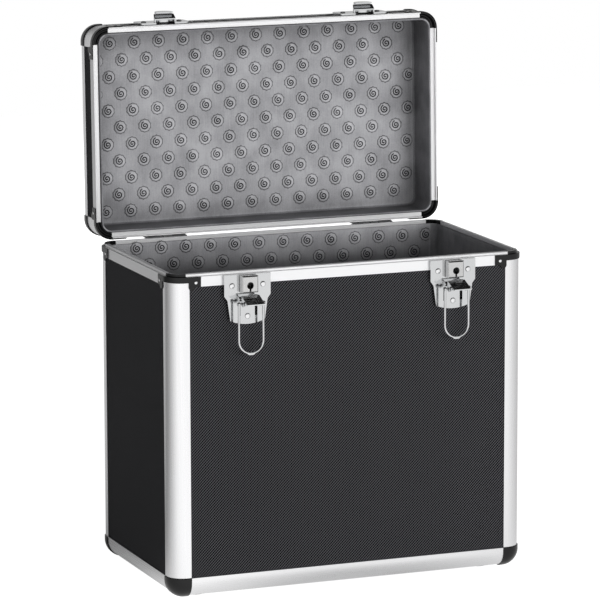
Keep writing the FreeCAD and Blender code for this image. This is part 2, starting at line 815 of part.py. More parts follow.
def lock_case(label):
    body = new_body(label)
    half, height = s.lock_half, s.lock_height
    shell = rectangle(-half, -s.lock_bottom, half, -s.lock_top)
    block = pad(body, "block", "XZ_Plane", [shell], height, s.plate_lift)
    doc.recompute()
    front = -(s.plate_lift + height).value
    sharp = []
    for number, edge in enumerate(block.Shape.Edges, 1):
        middle = edge.CenterOfMass
        if abs(middle.y - front) < Part.Precision.confusion():
            sharp.append(f"Edge{number}")
    bevel = body.newObject("PartDesign::Chamfer", "bevel")
    bevel.Base = (block, sharp)
    bevel.setExpression("Size", s.lock_bevel.text)
    doc.recompute()
    back = -s.plate_lift.value
    mouths = [
        f"Face{number}"
        for number, face in enumerate(bevel.Shape.Faces, 1)
        if abs(face.CenterOfMass.y - back) < Part.Precision.confusion()
    ]
    hollow = body.newObject("PartDesign::Thickness", "hollow")
    hollow.Base = (bevel, mouths)
    hollow.setExpression("Value", s.plate_sheet.text)
    hollow.Reversed = True
    depth = s.plate_lift + height + s.overrun
    pocket(body, "keyhole", "XZ_Plane", [[(0, -s.keyhole_drop, s.keyhole_radius)]], depth)
    half_slot = s.keyslot_width / 2
    slot = rectangle(-half_slot, -s.keyslot_drop, half_slot, -s.keyhole_drop)
    pocket(body, "keyslot", "XZ_Plane", [slot], depth)
    return body


# Lever: a ridged channel of sheet steel whose flanges turn on the plate's pin, sink into
# the plate's slots when it lies flat, and carry the bail's pin.
RIDGES = 5


def lever(label):
    body = new_body(label)
    curl, sheet_steel, tip = s.barrel_radius, s.lever_sheet, s.lever_length
    face = s.lever_rise
    inside = face - sheet_steel
    bend = tip - s.flare_length
    neck, deep = s.flange_neck, s.flange_depth
    under = root(curl * curl - neck * neck)
    outline = [
        (-face, -s.lever_start),
        (-face, -bend),
        (-face - s.lever_flare, -tip),
        (-inside - s.lever_flare, -tip),
        (-inside, -bend),
        (-inside, -s.flange_end),
        (deep, -s.flange_low),
        (deep, -s.flange_shoulder),
        (neck, -s.flange_neck_drop),
        (neck, -under, curl, 1),
        (curl, 0, curl, 1),
        (0, curl, curl, 1),
        (-curl, 0),
    ]
    bore = [(0, 0, s.lever_pin_radius + s.running_play)]
    pin_hole = [(s.bail_pin_setback, -s.bail_pin_drop, s.bail_pin_radius + s.running_play)]
    pad(body, "block", "YZ_Plane", [outline, bore, pin_hole], s.lever_width, middle=True)
    between = [
        (-inside - s.lever_flare, -tip),
        (deep + s.overrun, -tip),
        (deep + s.overrun, curl + s.overrun),
        (-inside, curl + s.overrun),
        (-inside, -bend),
    ]
    edge = s.lever_width / 2 - sheet_steel
    pocket(body, "between", "YZ_Plane", [between], edge * 2, middle=True)
    ridges = []
    for number in range(RIDGES):
        low = -s.ridge_start - s.ridge_pitch * number
        ridges.append(
            [
                (-face + sheet_steel / 2, low),
                (-face - s.ridge_height, low),
                (-face - s.ridge_height, low - s.ridge_width),
                (-face + sheet_steel / 2, low - s.ridge_width),
            ]
        )
    pad(body, "ridges", "YZ_Plane", ridges, edge * 2, middle=True)
    return body


def bail_pin(label):
    """A rod through the lever's flanges and the bail's eyes, with a head at each end."""
    body = new_body(label)
    reach = s.bail_half + s.wire_radius + s.running_play
    pad(body, "rod", "YZ_Plane", [[(0, 0, s.bail_pin_radius)]], reach * 2, middle=True)
    head = many_sided(length(0), length(0), s.bail_head_radius, RIVET_SIDES)
    pad(body, "right_head", "YZ_Plane", [head], s.bail_head_width, reach)
    pad(body, "left_head", "YZ_Plane", [head], s.bail_head_width, -reach, back=True)
    return body


# A round rod that is bent is drawn with this many sides, which keeps its facets few.
ROD_SIDES = 8


def bail(label):
    """A wire loop that hangs from two eyes, with a flattened tab on its cross wire."""
    body = new_body(label)
    half, wire = s.bail_half, s.wire_radius
    start = s.eye_radius - wire / 2
    bend = s.bail_length - half
    path = [
        (-half, -start),
        (-half, -bend, half, 1),
        (0, -s.bail_length, half, 1),
        (half, -bend),
        (half, -start),
    ]
    route = draw(body, "route", "XZ_Plane", [path], closed=False)
    section = draw(body, "section", "XY_Plane", [many_sided(-half, length(0), wire, ROD_SIDES)], -start)
    pipe = body.newObject("PartDesign::AdditivePipe", "wire")
    pipe.Profile = section
    pipe.Spine = (route, [])
    eye = [[(0, 0, s.eye_radius)], [(0, 0, s.bail_pin_radius + s.running_play)]]
    near = half - s.eye_width / 2
    pad(body, "right_eye", "YZ_Plane", eye, s.eye_width, near)
    pad(body, "left_eye", "YZ_Plane", eye, s.eye_width, -near, back=True)
    tab = bevelled_rectangle(
        -s.bail_tab_half,
        -s.bail_length - s.bail_tab_out,
        s.bail_tab_half,
        s.bail_tab_in - s.bail_length,
        wire,
    )
    pad(body, "tab", "XZ_Plane", [tab], s.bail_tab_thickness, middle=True)
    return body


front_face = -half_depth
body_heads = corner_rivets(rim_z, -1)
for side, way in LATCHES:
    seat = [move(latch_x(way), front_face, rim_z)]
    plate = latch_plate(f"latch_plate_{side}")
    place(plate, seat)
    node(plate, f"latch_plate_{side}")
    case = lock_case(f"lock_case_{side}")
    place(case, seat)
    node(case, f"lock_case_{side}")
    for x, drop in [
        (-s.latch_rivet_offset, s.latch_rivet_drop),
        (s.latch_rivet_offset, s.latch_rivet_drop),
        (length(0), s.latch_rivet_low),
    ]:
        body_heads.append(
            copy_of(large_rivet, seat + [move(x, -s.plate_lift, -drop), turn("1; 0; 0", 90)])
        )
    pivot = [move(latch_x(way), front_face - pivot_out, pivot_z)]
    lifted = pivot + [turn("1; 0; 0", -s.lever_rest_angle)]
    arm = lever(f"latch_lever_{side}")
    place(arm, lifted)
    node(arm, f"latch_lever_{side}")
    hang = lifted + [
        move(0, s.bail_pin_setback, -s.bail_pin_drop),
        turn("1; 0; 0", s.lever_rest_angle),
    ]
    rod = bail_pin(f"bail_pin_{side}")
    place(rod, hang)
    node(rod, f"bail_pin_{side}")
    loop = bail(f"bail_{side}")
    place(loop, hang)
    node(loop, f"bail_{side}")


# Keepers: a tray with a half round hood whose lip holds the bail's cross wire.
def keeper(label):
    body = new_body(label)
    lift = s.keeper_lift
    catch = s.bail_length - s.bail_pin_drop - s.pivot_drop - s.rim_gap
    middle = catch - s.bail_half
    catch_middle = middle + hood_radius + s.lip_overhang - s.lip_half

    def tray(inset):
        radius = s.keeper_rounding - inset
        return rounded_rectangle(
            inset - s.keeper_half,
            s.keeper_low + inset,
            s.keeper_half - inset,
            s.keeper_high - inset,
            radius,
        )

    def half_round(radius, near, centre):
        return [
            (-radius, near),
            (radius, near),
            (radius, centre, radius, 1),
            (0, centre + radius, radius, 1),
            (-radius, centre),
        ]

    pad(body, "tray", "XZ_Plane", [tray(length(0))], lift)
    pocket(body, "hollow", "XZ_Plane", [tray(s.plate_sheet)], lift - s.plate_sheet)
    hood = half_round(hood_radius, s.hood_near, middle)
    pad(body, "hood", "XZ_Plane", [hood], s.hood_height - lift + s.plate_sheet / 2, lift - s.plate_sheet / 2)
    lip = half_round(s.lip_half, middle, catch_middle)
    pad(body, "lip", "XZ_Plane", [lip], s.lip_thickness, s.hood_height)
    crown = s.hood_height + s.overrun
    slope = [
        (-s.hood_front, s.hood_near - s.overrun),
        (-crown, s.hood_near - s.overrun),
        (-crown, s.hood_slope_end - s.overrun),
        (-s.hood_height, s.hood_slope_end - s.overrun),
        (-s.hood_front, s.hood_near),
    ]
    pocket(body, "slope", "YZ_Plane", [slope], hood_radius * 2 + s.overrun, middle=True)
    inside = half_round(hood_radius - s.hood_wall, s.hood_near - s.overrun, middle)
    mouth_depth = s.hood_front - s.hood_wall
    pocket(body, "mouth", "XZ_Plane", [inside], mouth_depth)
    return body


# Hinges: leaves on the back faces. The body's outer knuckles hold the pin, and the lid's
# middle knuckle turns on it.
KNUCKLES = 3


def hinge_leaf(name, for_lid):
    """Local origin on the hinge's axis, +Y away from the case."""
    side = 1 if for_lid else -1
    body = new_body(name)
    back = -s.hinge_offset
    skin = s.hinge_sheet
    clear = (s.knuckle_radius + s.knuckle_gap) * side
    far = s.hinge_leaf_height * side
    flat = rectangle(back, clear, back + skin, far)
    pad(body, "leaf", "YZ_Plane", [flat], s.hinge_width, middle=True)
    pitch = s.hinge_width / KNUCKLES
    numbers = [0] if for_lid else [-1, 1]
    r = s.knuckle_radius
    reach = root(r * r - (s.hinge_offset - skin) * (s.hinge_offset - skin))
    bore = s.hinge_pin_radius + s.running_play
    ring = [[(0, 0, r)], [(0, 0, bore)]] if for_lid else [[(0, 0, r)]]
    for count, number in enumerate(numbers):
        start = pitch * number - pitch / 2 + s.knuckle_gap / 2
        neck = [
            (back, clear + s.hinge_sheet * side),
            (back, 0),
            (-r, 0),
            (-bore - s.running_play, 0),
            (back + skin, reach * side),
            (back + skin, clear + s.hinge_sheet * side),
        ]
        run = pitch - s.knuckle_gap
        pad(body, f"neck{count}", "YZ_Plane", [neck], run, start)
        pad(body, f"knuckle{count}", "YZ_Plane", ring, run, start)
    if not for_lid:
        pad(body, "pin", "YZ_Plane", [[(0, 0, s.hinge_pin_radius)]], pitch + s.overrun, middle=True)
    return body


body_leaf = hinge_leaf("body_leaf", False)
lid_leaf = hinge_leaf("lid_leaf", True)
axis_at = [[move((half_width - s.hinge_inset) * way, hinge_y, lid_z)] for way in (-1, 1)]
group([copy_of(body_leaf, place_) for place_ in axis_at], "hinge_body_leaves", [])
group([copy_of(lid_leaf, place_) for place_ in axis_at], "hinge_lid_leaves", LID)

lid_heads = corner_rivets(lid_z, 1)
for place_ in axis_at:
    for offset in (-s.hinge_rivet_offset, length(0), s.hinge_rivet_offset):
        face = s.hinge_sheet - s.hinge_offset
        for heads, side in ((body_heads, -1), (lid_heads, 1)):
            where = move(offset, face, s.hinge_rivet_drop * side)
            heads.append(copy_of(small_rivet, place_ + [where, turn("1; 0; 0", -90)]))

for side, way in LATCHES:
    hook = keeper(f"keeper_{side}")
    place(hook, LID + [move(latch_x(way), front_face, lid_z)])
    node(hook, f"keeper_{side}")
    for x in (-1, 1):
        offset = (s.keeper_half + hood_radius) / 2 * x
        middle = (s.keeper_low + s.keeper_high) / 2
        where = move(latch_x(way) + offset, front_face - s.keeper_lift, lid_z + middle)
        lid_heads.append(copy_of(large_rivet, [where, turn("1; 0; 0", 90)]))


# Folding handle on the lid: a steel bow in two brackets with a moulded grip.
def bracket(name):
    """Local origin on the handle's axis at an arm, +X away from the handle's middle."""
    body = new_body(name)
    floor = -s.handle_lift - s.rail_wall
    near = s.lug_start + s.lug_thickness / 2 - s.bracket_long / 2
    half = s.bracket_wide / 2
    lug = [
        (-s.lug_radius, floor),
        (s.lug_radius, floor),
        (s.lug_radius, 0, s.lug_radius, 1),
        (0, s.lug_radius, s.lug_radius, 1),
        (-s.lug_radius, 0),
    ]
    foot_plate = bevelled_rectangle(near, -half, near + s.bracket_long, half, s.lug_thickness / 2)
    pad(body, "foot", "XY_Plane", [foot_plate], s.bracket_foot, floor)
    pad(body, "lug", "YZ_Plane", [lug], s.lug_thickness, s.lug_start)
    hole = [(0, 0, s.bow_radius + s.running_play)]
    pocket(body, "bore", "YZ_Plane", [hole], s.lug_thickness + s.overrun * 2, s.lug_start - s.overrun)
    return body


handle_hang = [
    move(0, 0, top_z + s.handle_lift),
    turn("1; 0; 0", s.lid_open_angle - s.plumb_angle),
]
holder = bracket("bracket")
brackets = []
for x, angle in ((1, 0), (-1, 180)):
    at_arm = [move(s.handle_half * x, 0, top_z + s.handle_lift), turn("0; 0; 1", angle)]
    brackets.append(copy_of(holder, at_arm))
    for across in (-1, 1):
        middle = s.lug_start + s.lug_thickness / 2
        across_y = (s.bracket_wide + s.lug_radius * 2) / 4 * across
        where = move(middle, across_y, s.bracket_foot - s.handle_lift - s.rail_wall)
        lid_heads.append(copy_of(large_rivet, at_arm + [where]))
group(brackets, "handle_brackets", LID)

bow = new_body("handle_bow")
half, reach, bend = s.handle_half, s.handle_reach, s.bow_bend
tight = s.bow_elbow
far = half + s.bow_stub
bow_path = [
    (-far, 0),
    (-half - tight, 0, tight, 1),
    (-half, tight),
    (-half, reach - bend, bend, -1),
    (-half + bend, reach),
    (half - bend, reach, bend, -1),
    (half, reach - bend),
    (half, tight, tight, 1),
    (half + tight, 0),
    (far, 0),
]
bow_route = draw(bow, "route", "XY_Plane", [bow_path], closed=False)
bow_outline = many_sided(length(0), length(0), s.bow_radius, ROD_SIDES)
bow_section = draw(bow, "section", "YZ_Plane", [bow_outline], -far)
rod = bow.newObject("PartDesign::AdditivePipe", "rod")
rod.Profile = bow_section
rod.Spine = (bow_route, [])
place(bow, LID + handle_hang)
node(bow, "handle_bow")

grip = new_body("handle_grip")
bore = s.bow_radius + s.running_play
grip_profile = [
    (-grip_half, bore),
    (grip_half, bore),
    (grip_half, s.grip_neck),
    (grip_half / 2, s.grip_radius),
    (-grip_half / 2, s.grip_radius),
    (-grip_half, s.grip_neck),
]
grip_outline = draw(grip, "profile", "XY_Plane", [grip_profile])
turned = grip.newObject("PartDesign::Revolution", "turned")
turned.Profile = grip_outline
turned.ReferenceAxis = (grip_outline, ["H_Axis"])
place(grip, LID + handle_hang + [move(0, s.handle_reach, 0)])
node(grip, "handle_grip")

group(body_heads, "body_rivets", [])
group(lid_heads, "lid_rivets", LID)

# Nothing is written unless every object is sound.
doc.recompute()
faults = [o.Name for o in doc.Objects if "Invalid" in o.State or "Error" in o.State]
faults += [n.Label for n in nodes if n.Shape.isNull() or not n.Shape.isValid()]
if faults:
    raise RuntimeError("faulty: " + ", ".join(faults))
os.makedirs("parts", exist_ok=True)
for piece in nodes:
    piece.Shape.exportStep(f"parts/{piece.Label}.step")
print(len(nodes), "nodes written")
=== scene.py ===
# %% [markdown]
# A carrying case for records, standing open: black laminated boards in aluminium
# rails, plastic corners, two draw latches and a lining pressed with spirals.
# The CAD model arrives as a fixed frame, in metres, at its true place. Boards keep
# their CAD meshes and get a finish. Metal and plastic pieces are shown by merged copies
# with rounded edges, and the soft linings are modelled here with their pattern.

import json
import math

import bmesh
import bpy
from mathutils import Matrix, Vector


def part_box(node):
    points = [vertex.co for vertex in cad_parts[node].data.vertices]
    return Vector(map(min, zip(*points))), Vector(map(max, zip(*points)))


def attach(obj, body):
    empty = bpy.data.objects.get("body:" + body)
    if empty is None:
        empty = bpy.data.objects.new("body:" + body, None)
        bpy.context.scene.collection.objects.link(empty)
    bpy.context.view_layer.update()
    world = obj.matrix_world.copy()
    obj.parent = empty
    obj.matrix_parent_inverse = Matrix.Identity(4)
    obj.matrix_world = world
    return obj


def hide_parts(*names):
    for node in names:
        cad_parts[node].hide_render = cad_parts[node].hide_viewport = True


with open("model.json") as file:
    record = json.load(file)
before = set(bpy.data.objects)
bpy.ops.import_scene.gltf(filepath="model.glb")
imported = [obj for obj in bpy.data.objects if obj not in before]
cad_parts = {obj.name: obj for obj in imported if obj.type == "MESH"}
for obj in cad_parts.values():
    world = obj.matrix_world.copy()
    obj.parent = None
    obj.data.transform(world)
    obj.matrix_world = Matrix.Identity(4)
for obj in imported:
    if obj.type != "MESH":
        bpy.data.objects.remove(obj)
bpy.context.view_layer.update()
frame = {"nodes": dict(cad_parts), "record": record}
nodes = frame["nodes"]
record = frame["record"]
slot_of = {entry["node"]: entry["material_slot"] for entry in record["subparts"]}
bodies = record["behaviour"]["bodies"]
body_of = {name: body for body, names in bodies.items() for name in names}


def mm(*values):
    """Millimetres to metres, one value or a vector."""
    scaled = [value / 1000 for value in values]
    return scaled[0] if len(scaled) == 1 else Vector(scaled)


# %% [markdown]
# The camera of a product photograph stands far away with a long lens, so that upright
# edges stay nearly parallel. Its direction and distance were worked out from the
# corners of the case in the picture: a little from the left and slightly above.
# Angles are in degrees and lengths in millimetres, unless a comment says otherwise. The
# camera's focal length was measured in pixels of the picture.

# %% Camera
CAMERA_AZIMUTH = -21.465
CAMERA_ELEVATION = 10.509
CAMERA_ROLL = -0.151
CAMERA_DISTANCE = 3999
CAMERA_TARGET = (-8.43, 3.32, 252.2)
PICTURE_PIXELS = 600
FOCAL_PIXELS = 4259.35
SENSOR_WIDTH = 36
FARTHEST_SEEN = 50000

turn_z, turn_x = math.radians(CAMERA_AZIMUTH), math.radians(CAMERA_ELEVATION)
back = Vector(
    (
        math.sin(turn_z) * math.cos(turn_x),
        -math.cos(turn_z) * math.cos(turn_x),
        math.sin(turn_x),
    )
)
camera_data = bpy.data.cameras.new("product_camera")
camera_data.sensor_width = SENSOR_WIDTH
camera_data.lens = FOCAL_PIXELS / PICTURE_PIXELS * SENSOR_WIDTH
camera_data.clip_end = mm(FARTHEST_SEEN)
camera = bpy.data.objects.new("product_camera", camera_data)
camera.location = mm(*CAMERA_TARGET) + back * mm(CAMERA_DISTANCE)
aim = back.to_track_quat("Z", "Y").to_matrix().to_4x4()
roll = Matrix.Rotation(math.radians(CAMERA_ROLL), 4, "Z")
camera.matrix_world = Matrix.Translation(camera.location) @ aim @ roll
bpy.context.scene.collection.objects.link(camera)
bpy.context.scene.camera = camera
print("lens", round(camera_data.lens, 1), "mm")

# %% [markdown]
# Every finish is a small tree of shader nodes. One helper turns the sRGB colours that
# people pick on a screen into the linear light that the renderer works with. One adds
# a node with its settings and links, and one starts a material from its main surface.


# %% Helpers for materials
def colour(code):
    """'#8c8c8c' as linear red, green, blue and alpha."""
    parts = [int(code[i : i + 2], 16) / 255 for i in (1, 3, 5)]
    linear = [c / 12.92 if c <= 0.04045 else ((c + 0.055) / 1.055) ** 2.4 for c in parts]
    return (*linear, 1)


def add(tree, kind, *values, sockets=None, **named):
    """Adds a node. Values fill its inputs in order, or by number in sockets. A name
    with a capital is an input, any other name a setting. A node given as a value
    stands for its first output."""
    node = tree.nodes.new(kind)
    inputs = dict(enumerate(values)) | (sockets or {})
    for name, value in named.items():
        if name[0].isupper():
            inputs[name.replace("_", " ")] = value
        else:
            setattr(node, name, value)
    for key, value in inputs.items():
        if isinstance(value, bpy.types.Node):
            value = value.outputs[0]
        if isinstance(value, bpy.types.NodeSocket):
            tree.links.new(value, node.inputs[key])
        else:
            node.inputs[key].default_value = value
    return node


def surface(name, **inputs):
    """A new material: itself, its tree, its shader and its coordinates in metres."""
    material = bpy.data.materials.new(name)
    material.use_nodes = True
    tree = material.node_tree
    tree.nodes.clear()
    shader = add(tree, "ShaderNodeBsdfPrincipled", **inputs)
    add(tree, "ShaderNodeOutputMaterial", shader)
    where = add(tree, "ShaderNodeTexCoord").outputs["Object"]
    return material, tree, shader, where


# %% [markdown]
# Black decorative laminate: paper pressed with melamine resin against a steel sheet
# engraved with small diamonds. It is matt, and the ridges between the diamonds catch
# the light, more along one diagonal than along the other: this is a painted highlight,
# a paler colour on the ridges, as well as a bump. The ridges stand 2.8 mm apart. Two
# sets of slanting waves make them, in whichever two coordinates lie in the board, and
# the narrow tops of the waves are the pale ridges. The board's own normal tells which
# two they are, so the pattern stays when the lid is swung.

# %% Black laminate
DIAMOND = 2.8
STRONG, WEAK = 1.0, 0.22
RIDGE_FOOT, RIDGE_HEIGHT = 0.5, 0.1
FACING = 0.5
VALLEY_COLOUR, RIDGE_HIGHLIGHT_COLOUR = "#030304", "#646468"


def make_laminate():
    material, tree, shader, where = surface(
        "pressed_melamine_laminate", IOR=1.5, Roughness=0.6, Specular_IOR_Level=0.05
    )
    place = add(tree, "ShaderNodeSeparateXYZ", where).outputs
    normal = add(tree, "ShaderNodeTexCoord").outputs["Normal"]
    facing = add(tree, "ShaderNodeVectorMath", normal, operation="ABSOLUTE")
    facing = add(tree, "ShaderNodeSeparateXYZ", facing).outputs
    flank = add(tree, "ShaderNodeMath", facing[0], FACING, operation="GREATER_THAN")
    level = add(tree, "ShaderNodeMath", facing[2], FACING, operation="GREATER_THAN")
    across = add(tree, "ShaderNodeMix", flank, sockets={2: place[0], 3: place[1]})
    along = add(tree, "ShaderNodeMix", level, sockets={2: place[2], 3: place[1]})
    relief = None
    for way, share in (("SUBTRACT", STRONG), ("ADD", WEAK)):
        slant = add(tree, "ShaderNodeMath", across, along, operation=way)
        angle = add(
            tree, "ShaderNodeMath", slant, math.tau / mm(DIAMOND), operation="MULTIPLY"
        )
        wave = add(tree, "ShaderNodeMath", angle, operation="COSINE")
        ridge = add(tree, "ShaderNodeMapRange", wave, RIDGE_FOOT, 1, 0, share)
        relief = add(tree, "ShaderNodeMath", relief, ridge) if relief else ridge
    # Painted highlight: the ridges are coloured paler than the valleys.
    base = add(
        tree,
        "ShaderNodeMix",
        relief,
        sockets={6: colour(VALLEY_COLOUR), 7: colour(RIDGE_HIGHLIGHT_COLOUR)},
        data_type="RGBA",
    )
    tree.links.new(base.outputs[2], shader.inputs["Base Color"])
    bump = add(
        tree, "ShaderNodeBump", Strength=0.5, Distance=mm(RIDGE_HEIGHT), Height=relief
    )
    tree.links.new(bump.outputs[0], shader.inputs["Normal"])
    return material


laminate = make_laminate()
print("laminate with ridges", DIAMOND, "mm apart")

# %% [markdown]
# Anodised aluminium extrusion: drawn through a die and etched, so its surface is
# satin, with fine lines along its length where the die has scraped it. Noise that is
# stretched along the rail draws them. Rails run in three directions, so there are
# three finishes that differ only in the direction of the lines, and three more for the
# rim rails, whose thicker anodic layer is milkier: it scatters part of the light.

# %% Anodised aluminium
LINE_WIDTH, LINE_LENGTH, LINE_DEPTH = 0.9, 90, 0.02
LINES_FROM, LINES_TO = 0.3, 0.7


def make_aluminium(name, axis, metallic=1.0, smooth=0.24, dull=0.34):
    material, tree, shader, where = surface(
        "anodised_aluminium_" + name, Metallic=metallic, Base_Color=colour("#ececed")
    )
    scale = [1 / mm(LINE_WIDTH)] * 3
    scale[axis] = 1 / mm(LINE_LENGTH)
    drawn = add(tree, "ShaderNodeMapping", where, Scale=scale)
    lines = add(tree, "ShaderNodeTexNoise", Vector=drawn, Scale=1, Detail=2)
    rough = add(tree, "ShaderNodeMapRange", lines, LINES_FROM, LINES_TO, smooth, dull)
    tree.links.new(rough.outputs[0], shader.inputs["Roughness"])
    bump = add(tree, "ShaderNodeBump", Strength=0.3, Distance=mm(LINE_DEPTH), Height=lines)
    tree.links.new(bump.outputs[0], shader.inputs["Normal"])
    return material


WAYS = ("across", "deep", "upright")
DRAWN = [make_aluminium(way, axis) for axis, way in enumerate(WAYS)]
MILKY = (0.55, 0.32, 0.42)
SATIN = [make_aluminium("satin_" + way, axis, *MILKY) for axis, way in enumerate(WAYS)]
print(len(DRAWN) + len(SATIN), "finishes of aluminium")

# %% [markdown]
# Moulded ABS corners: black, with the semi-gloss of a polished mould and a faint
# orange-peel that breaks up the reflections. The lid's rim corners are ribbed: their
# ribs run round the corner, 4.2 mm apart. The lid stands open, so the coordinates are
# first swung back to the shut lid, where the corner's middle is easy to give.


# %% Moulded ABS
CASE_WIDTH, CASE_DEPTH, RAIL_RADIUS = 350, 200, 15.5
HINGE = (0, 103, 301.7)
LID_ANGLE = 91.6
RIB_STEP, RIB_HEIGHT = 4.2, 0.5
PEEL_GRAIN, PEEL_DEPTH = 1.6, 0.03
HANDLED_SPOT, HANDLED_RANGE, HANDLED_SHINE = 9, (0.35, 0.7), (0.16, 0.28)


def make_plastic(name, swung=False):
    material, tree, shader, where = surface(
        name, IOR=1.54, Specular_IOR_Level=0.3, Base_Color=colour("#070708")
    )
    peel = add(tree, "ShaderNodeTexNoise", Vector=where, Scale=1 / mm(PEEL_GRAIN), Detail=2)
    bump = add(tree, "ShaderNodeBump", Strength=0.3, Distance=mm(PEEL_DEPTH), Height=peel)
    if swung:
        shut = add(tree, "ShaderNodeVectorMath", where, mm(*HINGE), operation="SUBTRACT")
        shut = add(tree, "ShaderNodeMapping", shut, Rotation=(math.radians(LID_ANGLE), 0, 0))
        shut = add(tree, "ShaderNodeVectorMath", shut, mm(*HINGE))
        beyond = [CASE_WIDTH / 2 - RAIL_RADIUS, CASE_DEPTH / 2 - RAIL_RADIUS, 0]
        folded = add(tree, "ShaderNodeVectorMath", shut, operation="ABSOLUTE")
        corner = add(tree, "ShaderNodeVectorMath", folded, mm(*beyond), operation="SUBTRACT")
        corner = add(tree, "ShaderNodeVectorMath", corner, (0, 0, 0), operation="MAXIMUM")
        level = add(tree, "ShaderNodeVectorMath", corner, (1, 1, 0), operation="MULTIPLY")
        radius = add(tree, "ShaderNodeVectorMath", level, operation="LENGTH").outputs["Value"]
        angle = add(
            tree, "ShaderNodeMath", radius, math.tau / mm(RIB_STEP), operation="MULTIPLY"
        )
        ribs = add(tree, "ShaderNodeMath", angle, operation="COSINE")
        bump = add(
            tree,
            "ShaderNodeBump",
            Strength=1.0,
            Distance=mm(RIB_HEIGHT),
            Height=ribs,
            Normal=bump,
        )
    tree.links.new(bump.outputs[0], shader.inputs["Normal"])
    handled = add(tree, "ShaderNodeTexNoise", Vector=where, Scale=1 / mm(HANDLED_SPOT))
    rough = add(tree, "ShaderNodeMapRange", handled, *HANDLED_RANGE, *HANDLED_SHINE)
    tree.links.new(rough.outputs[0], shader.inputs["Roughness"])
    return material


plastic = make_plastic("moulded_abs")
ribbed_plastic = make_plastic("moulded_abs_ribbed", swung=True)
print("moulded ABS, plain and with ribs", RIB_STEP, "mm apart")

# %% [markdown]
# Chrome plate on stamped steel: nickel and chromium laid on the polished sheet. It
# mirrors the studio, bright in front and dark overhead, so its folds show as dark
# lines. The lock cases have the softer shine of plate on unpolished steel. The bails'
# pins and the hinges are zinc plated, which is greyer and rougher. In the corners and
# grooves shade is painted into the colour, so the plate is dark where little of the
# space around is open.


# %% Chrome and zinc
# Reach and range of the painted shade in corners and grooves, for all plates and for the
# levers.
CREVICE_SHADE_REACH, CREVICE_SHADE = 2.2, (0.35, 0.8)
LEVER_REACH, LEVER_CREVICE_SHADE = 3, (0.55, 0.9)
CREVICE_SHADE_COLOUR = "#1b1b1c"
UNEVEN_SHARE = 0.012
CLOUD_SIZE, CLOUD_RANGE, CLOUD_SHARE = 4, (0.3, 0.7), 0.3


def make_plate(name, code, roughness, grain, reach=CREVICE_SHADE_REACH, shade_range=CREVICE_SHADE):
    material, tree, shader, where = surface(name, Metallic=1.0)
    open_share = add(tree, "ShaderNodeAmbientOcclusion", Distance=mm(reach), samples=8)
    # Painted shade: the colour turns dark where little of the space around is open.
    crevice_shade = add(tree, "ShaderNodeMapRange", open_share.outputs["AO"], *shade_range, 0, 1)
    base = add(
        tree,
        "ShaderNodeMix",
        crevice_shade,
        sockets={6: colour(CREVICE_SHADE_COLOUR), 7: colour(code)},
        data_type="RGBA",
    )
    tree.links.new(base.outputs[2], shader.inputs["Base Color"])
    sheet = add(tree, "ShaderNodeTexNoise", Vector=where, Scale=1 / mm(grain))
    depth = mm(UNEVEN_SHARE * grain)
    bump = add(tree, "ShaderNodeBump", Strength=0.4, Distance=depth, Height=sheet)
    tree.links.new(bump.outputs[0], shader.inputs["Normal"])
    cloud = add(tree, "ShaderNodeTexNoise", Vector=where, Scale=1 / mm(CLOUD_SIZE))
    shine = (roughness * (1 - CLOUD_SHARE), roughness * (1 + CLOUD_SHARE))
    rough = add(tree, "ShaderNodeMapRange", cloud, *CLOUD_RANGE, *shine)
    tree.links.new(rough.outputs[0], shader.inputs["Roughness"])
    return material


chrome = make_plate("chrome_plated_steel", "#cacbcc", 0.12, 3)
lever_chrome = make_plate("chrome_plated_lever", "#d6d7d8", 0.08, 3, LEVER_REACH, LEVER_CREVICE_SHADE)
rivet_chrome = make_plate("chrome_plated_rivets", "#e4e4e5", 0.08, 3)
satin_chrome = make_plate("satin_chrome_plate", "#c6c6c6", 0.28, 0.8)
zinc = make_plate("zinc_plated_steel", "#b9babb", 0.34, 1.2)
print("plated finishes:", [plate.name for plate in (chrome, lever_chrome, rivet_chrome)])
print("and", satin_chrome.name, zinc.name)

# %% [markdown]
# The feet and the handle's grip: natural rubber is dull and nearly black, and the
# grip is moulded polypropylene with a fine spark-eroded texture.


# %% Rubber and grip
def make_dull(name, code, roughness, grain, depth):
    material, tree, shader, where = surface(
        name, IOR=1.5, Roughness=roughness, Base_Color=colour(code)
    )
    skin = add(tree, "ShaderNodeTexNoise", Vector=where, Scale=1 / mm(grain), Detail=2)
    bump = add(tree, "ShaderNodeBump", Strength=0.5, Distance=mm(depth), Height=skin)
    tree.links.new(bump.outputs[0], shader.inputs["Normal"])
    return material


rubber = make_dull("moulded_rubber", "#1a1a1a", 0.75, 0.9, 0.05)
grip_plastic = make_dull("eroded_polypropylene", "#1b1b1c", 0.5, 0.6, 0.05)
print(rubber.name, "and", grip_plastic.name)

# %% [markdown]
# The lining is a thin foam sheet with a soft vinyl face, pressed with a pattern of
# spirals. Its face is satin grey, with fine upright scratches from the roller and a
# slight unevenness where the glue pulls it. The pressed lines are painted darker, as
# the shade that they lie in, and the swelling between them is painted a little paler,
# as a highlight. Painted shade also makes the vinyl darker towards the corners than in
# the open middle: where less than 0.45 of the space around it is open it has half its
# brightness, and where more than 0.85 is open it has its full one.

# %% Vinyl lining
SCRATCH_WIDTH, SCRATCH_LENGTH = 1.1, 14
PULLED_SPOT, VINYL_GRAIN = 26, 1.3
GRAIN_SHARE, SCRATCH_SHARE = 0.3, 0.35
TONE_RANGE, RELIEF = (0.6, 1.05), 0.9
SHADE_REACH, SHADE = 50, (0.45, 0.85, 0.5, 1.08)


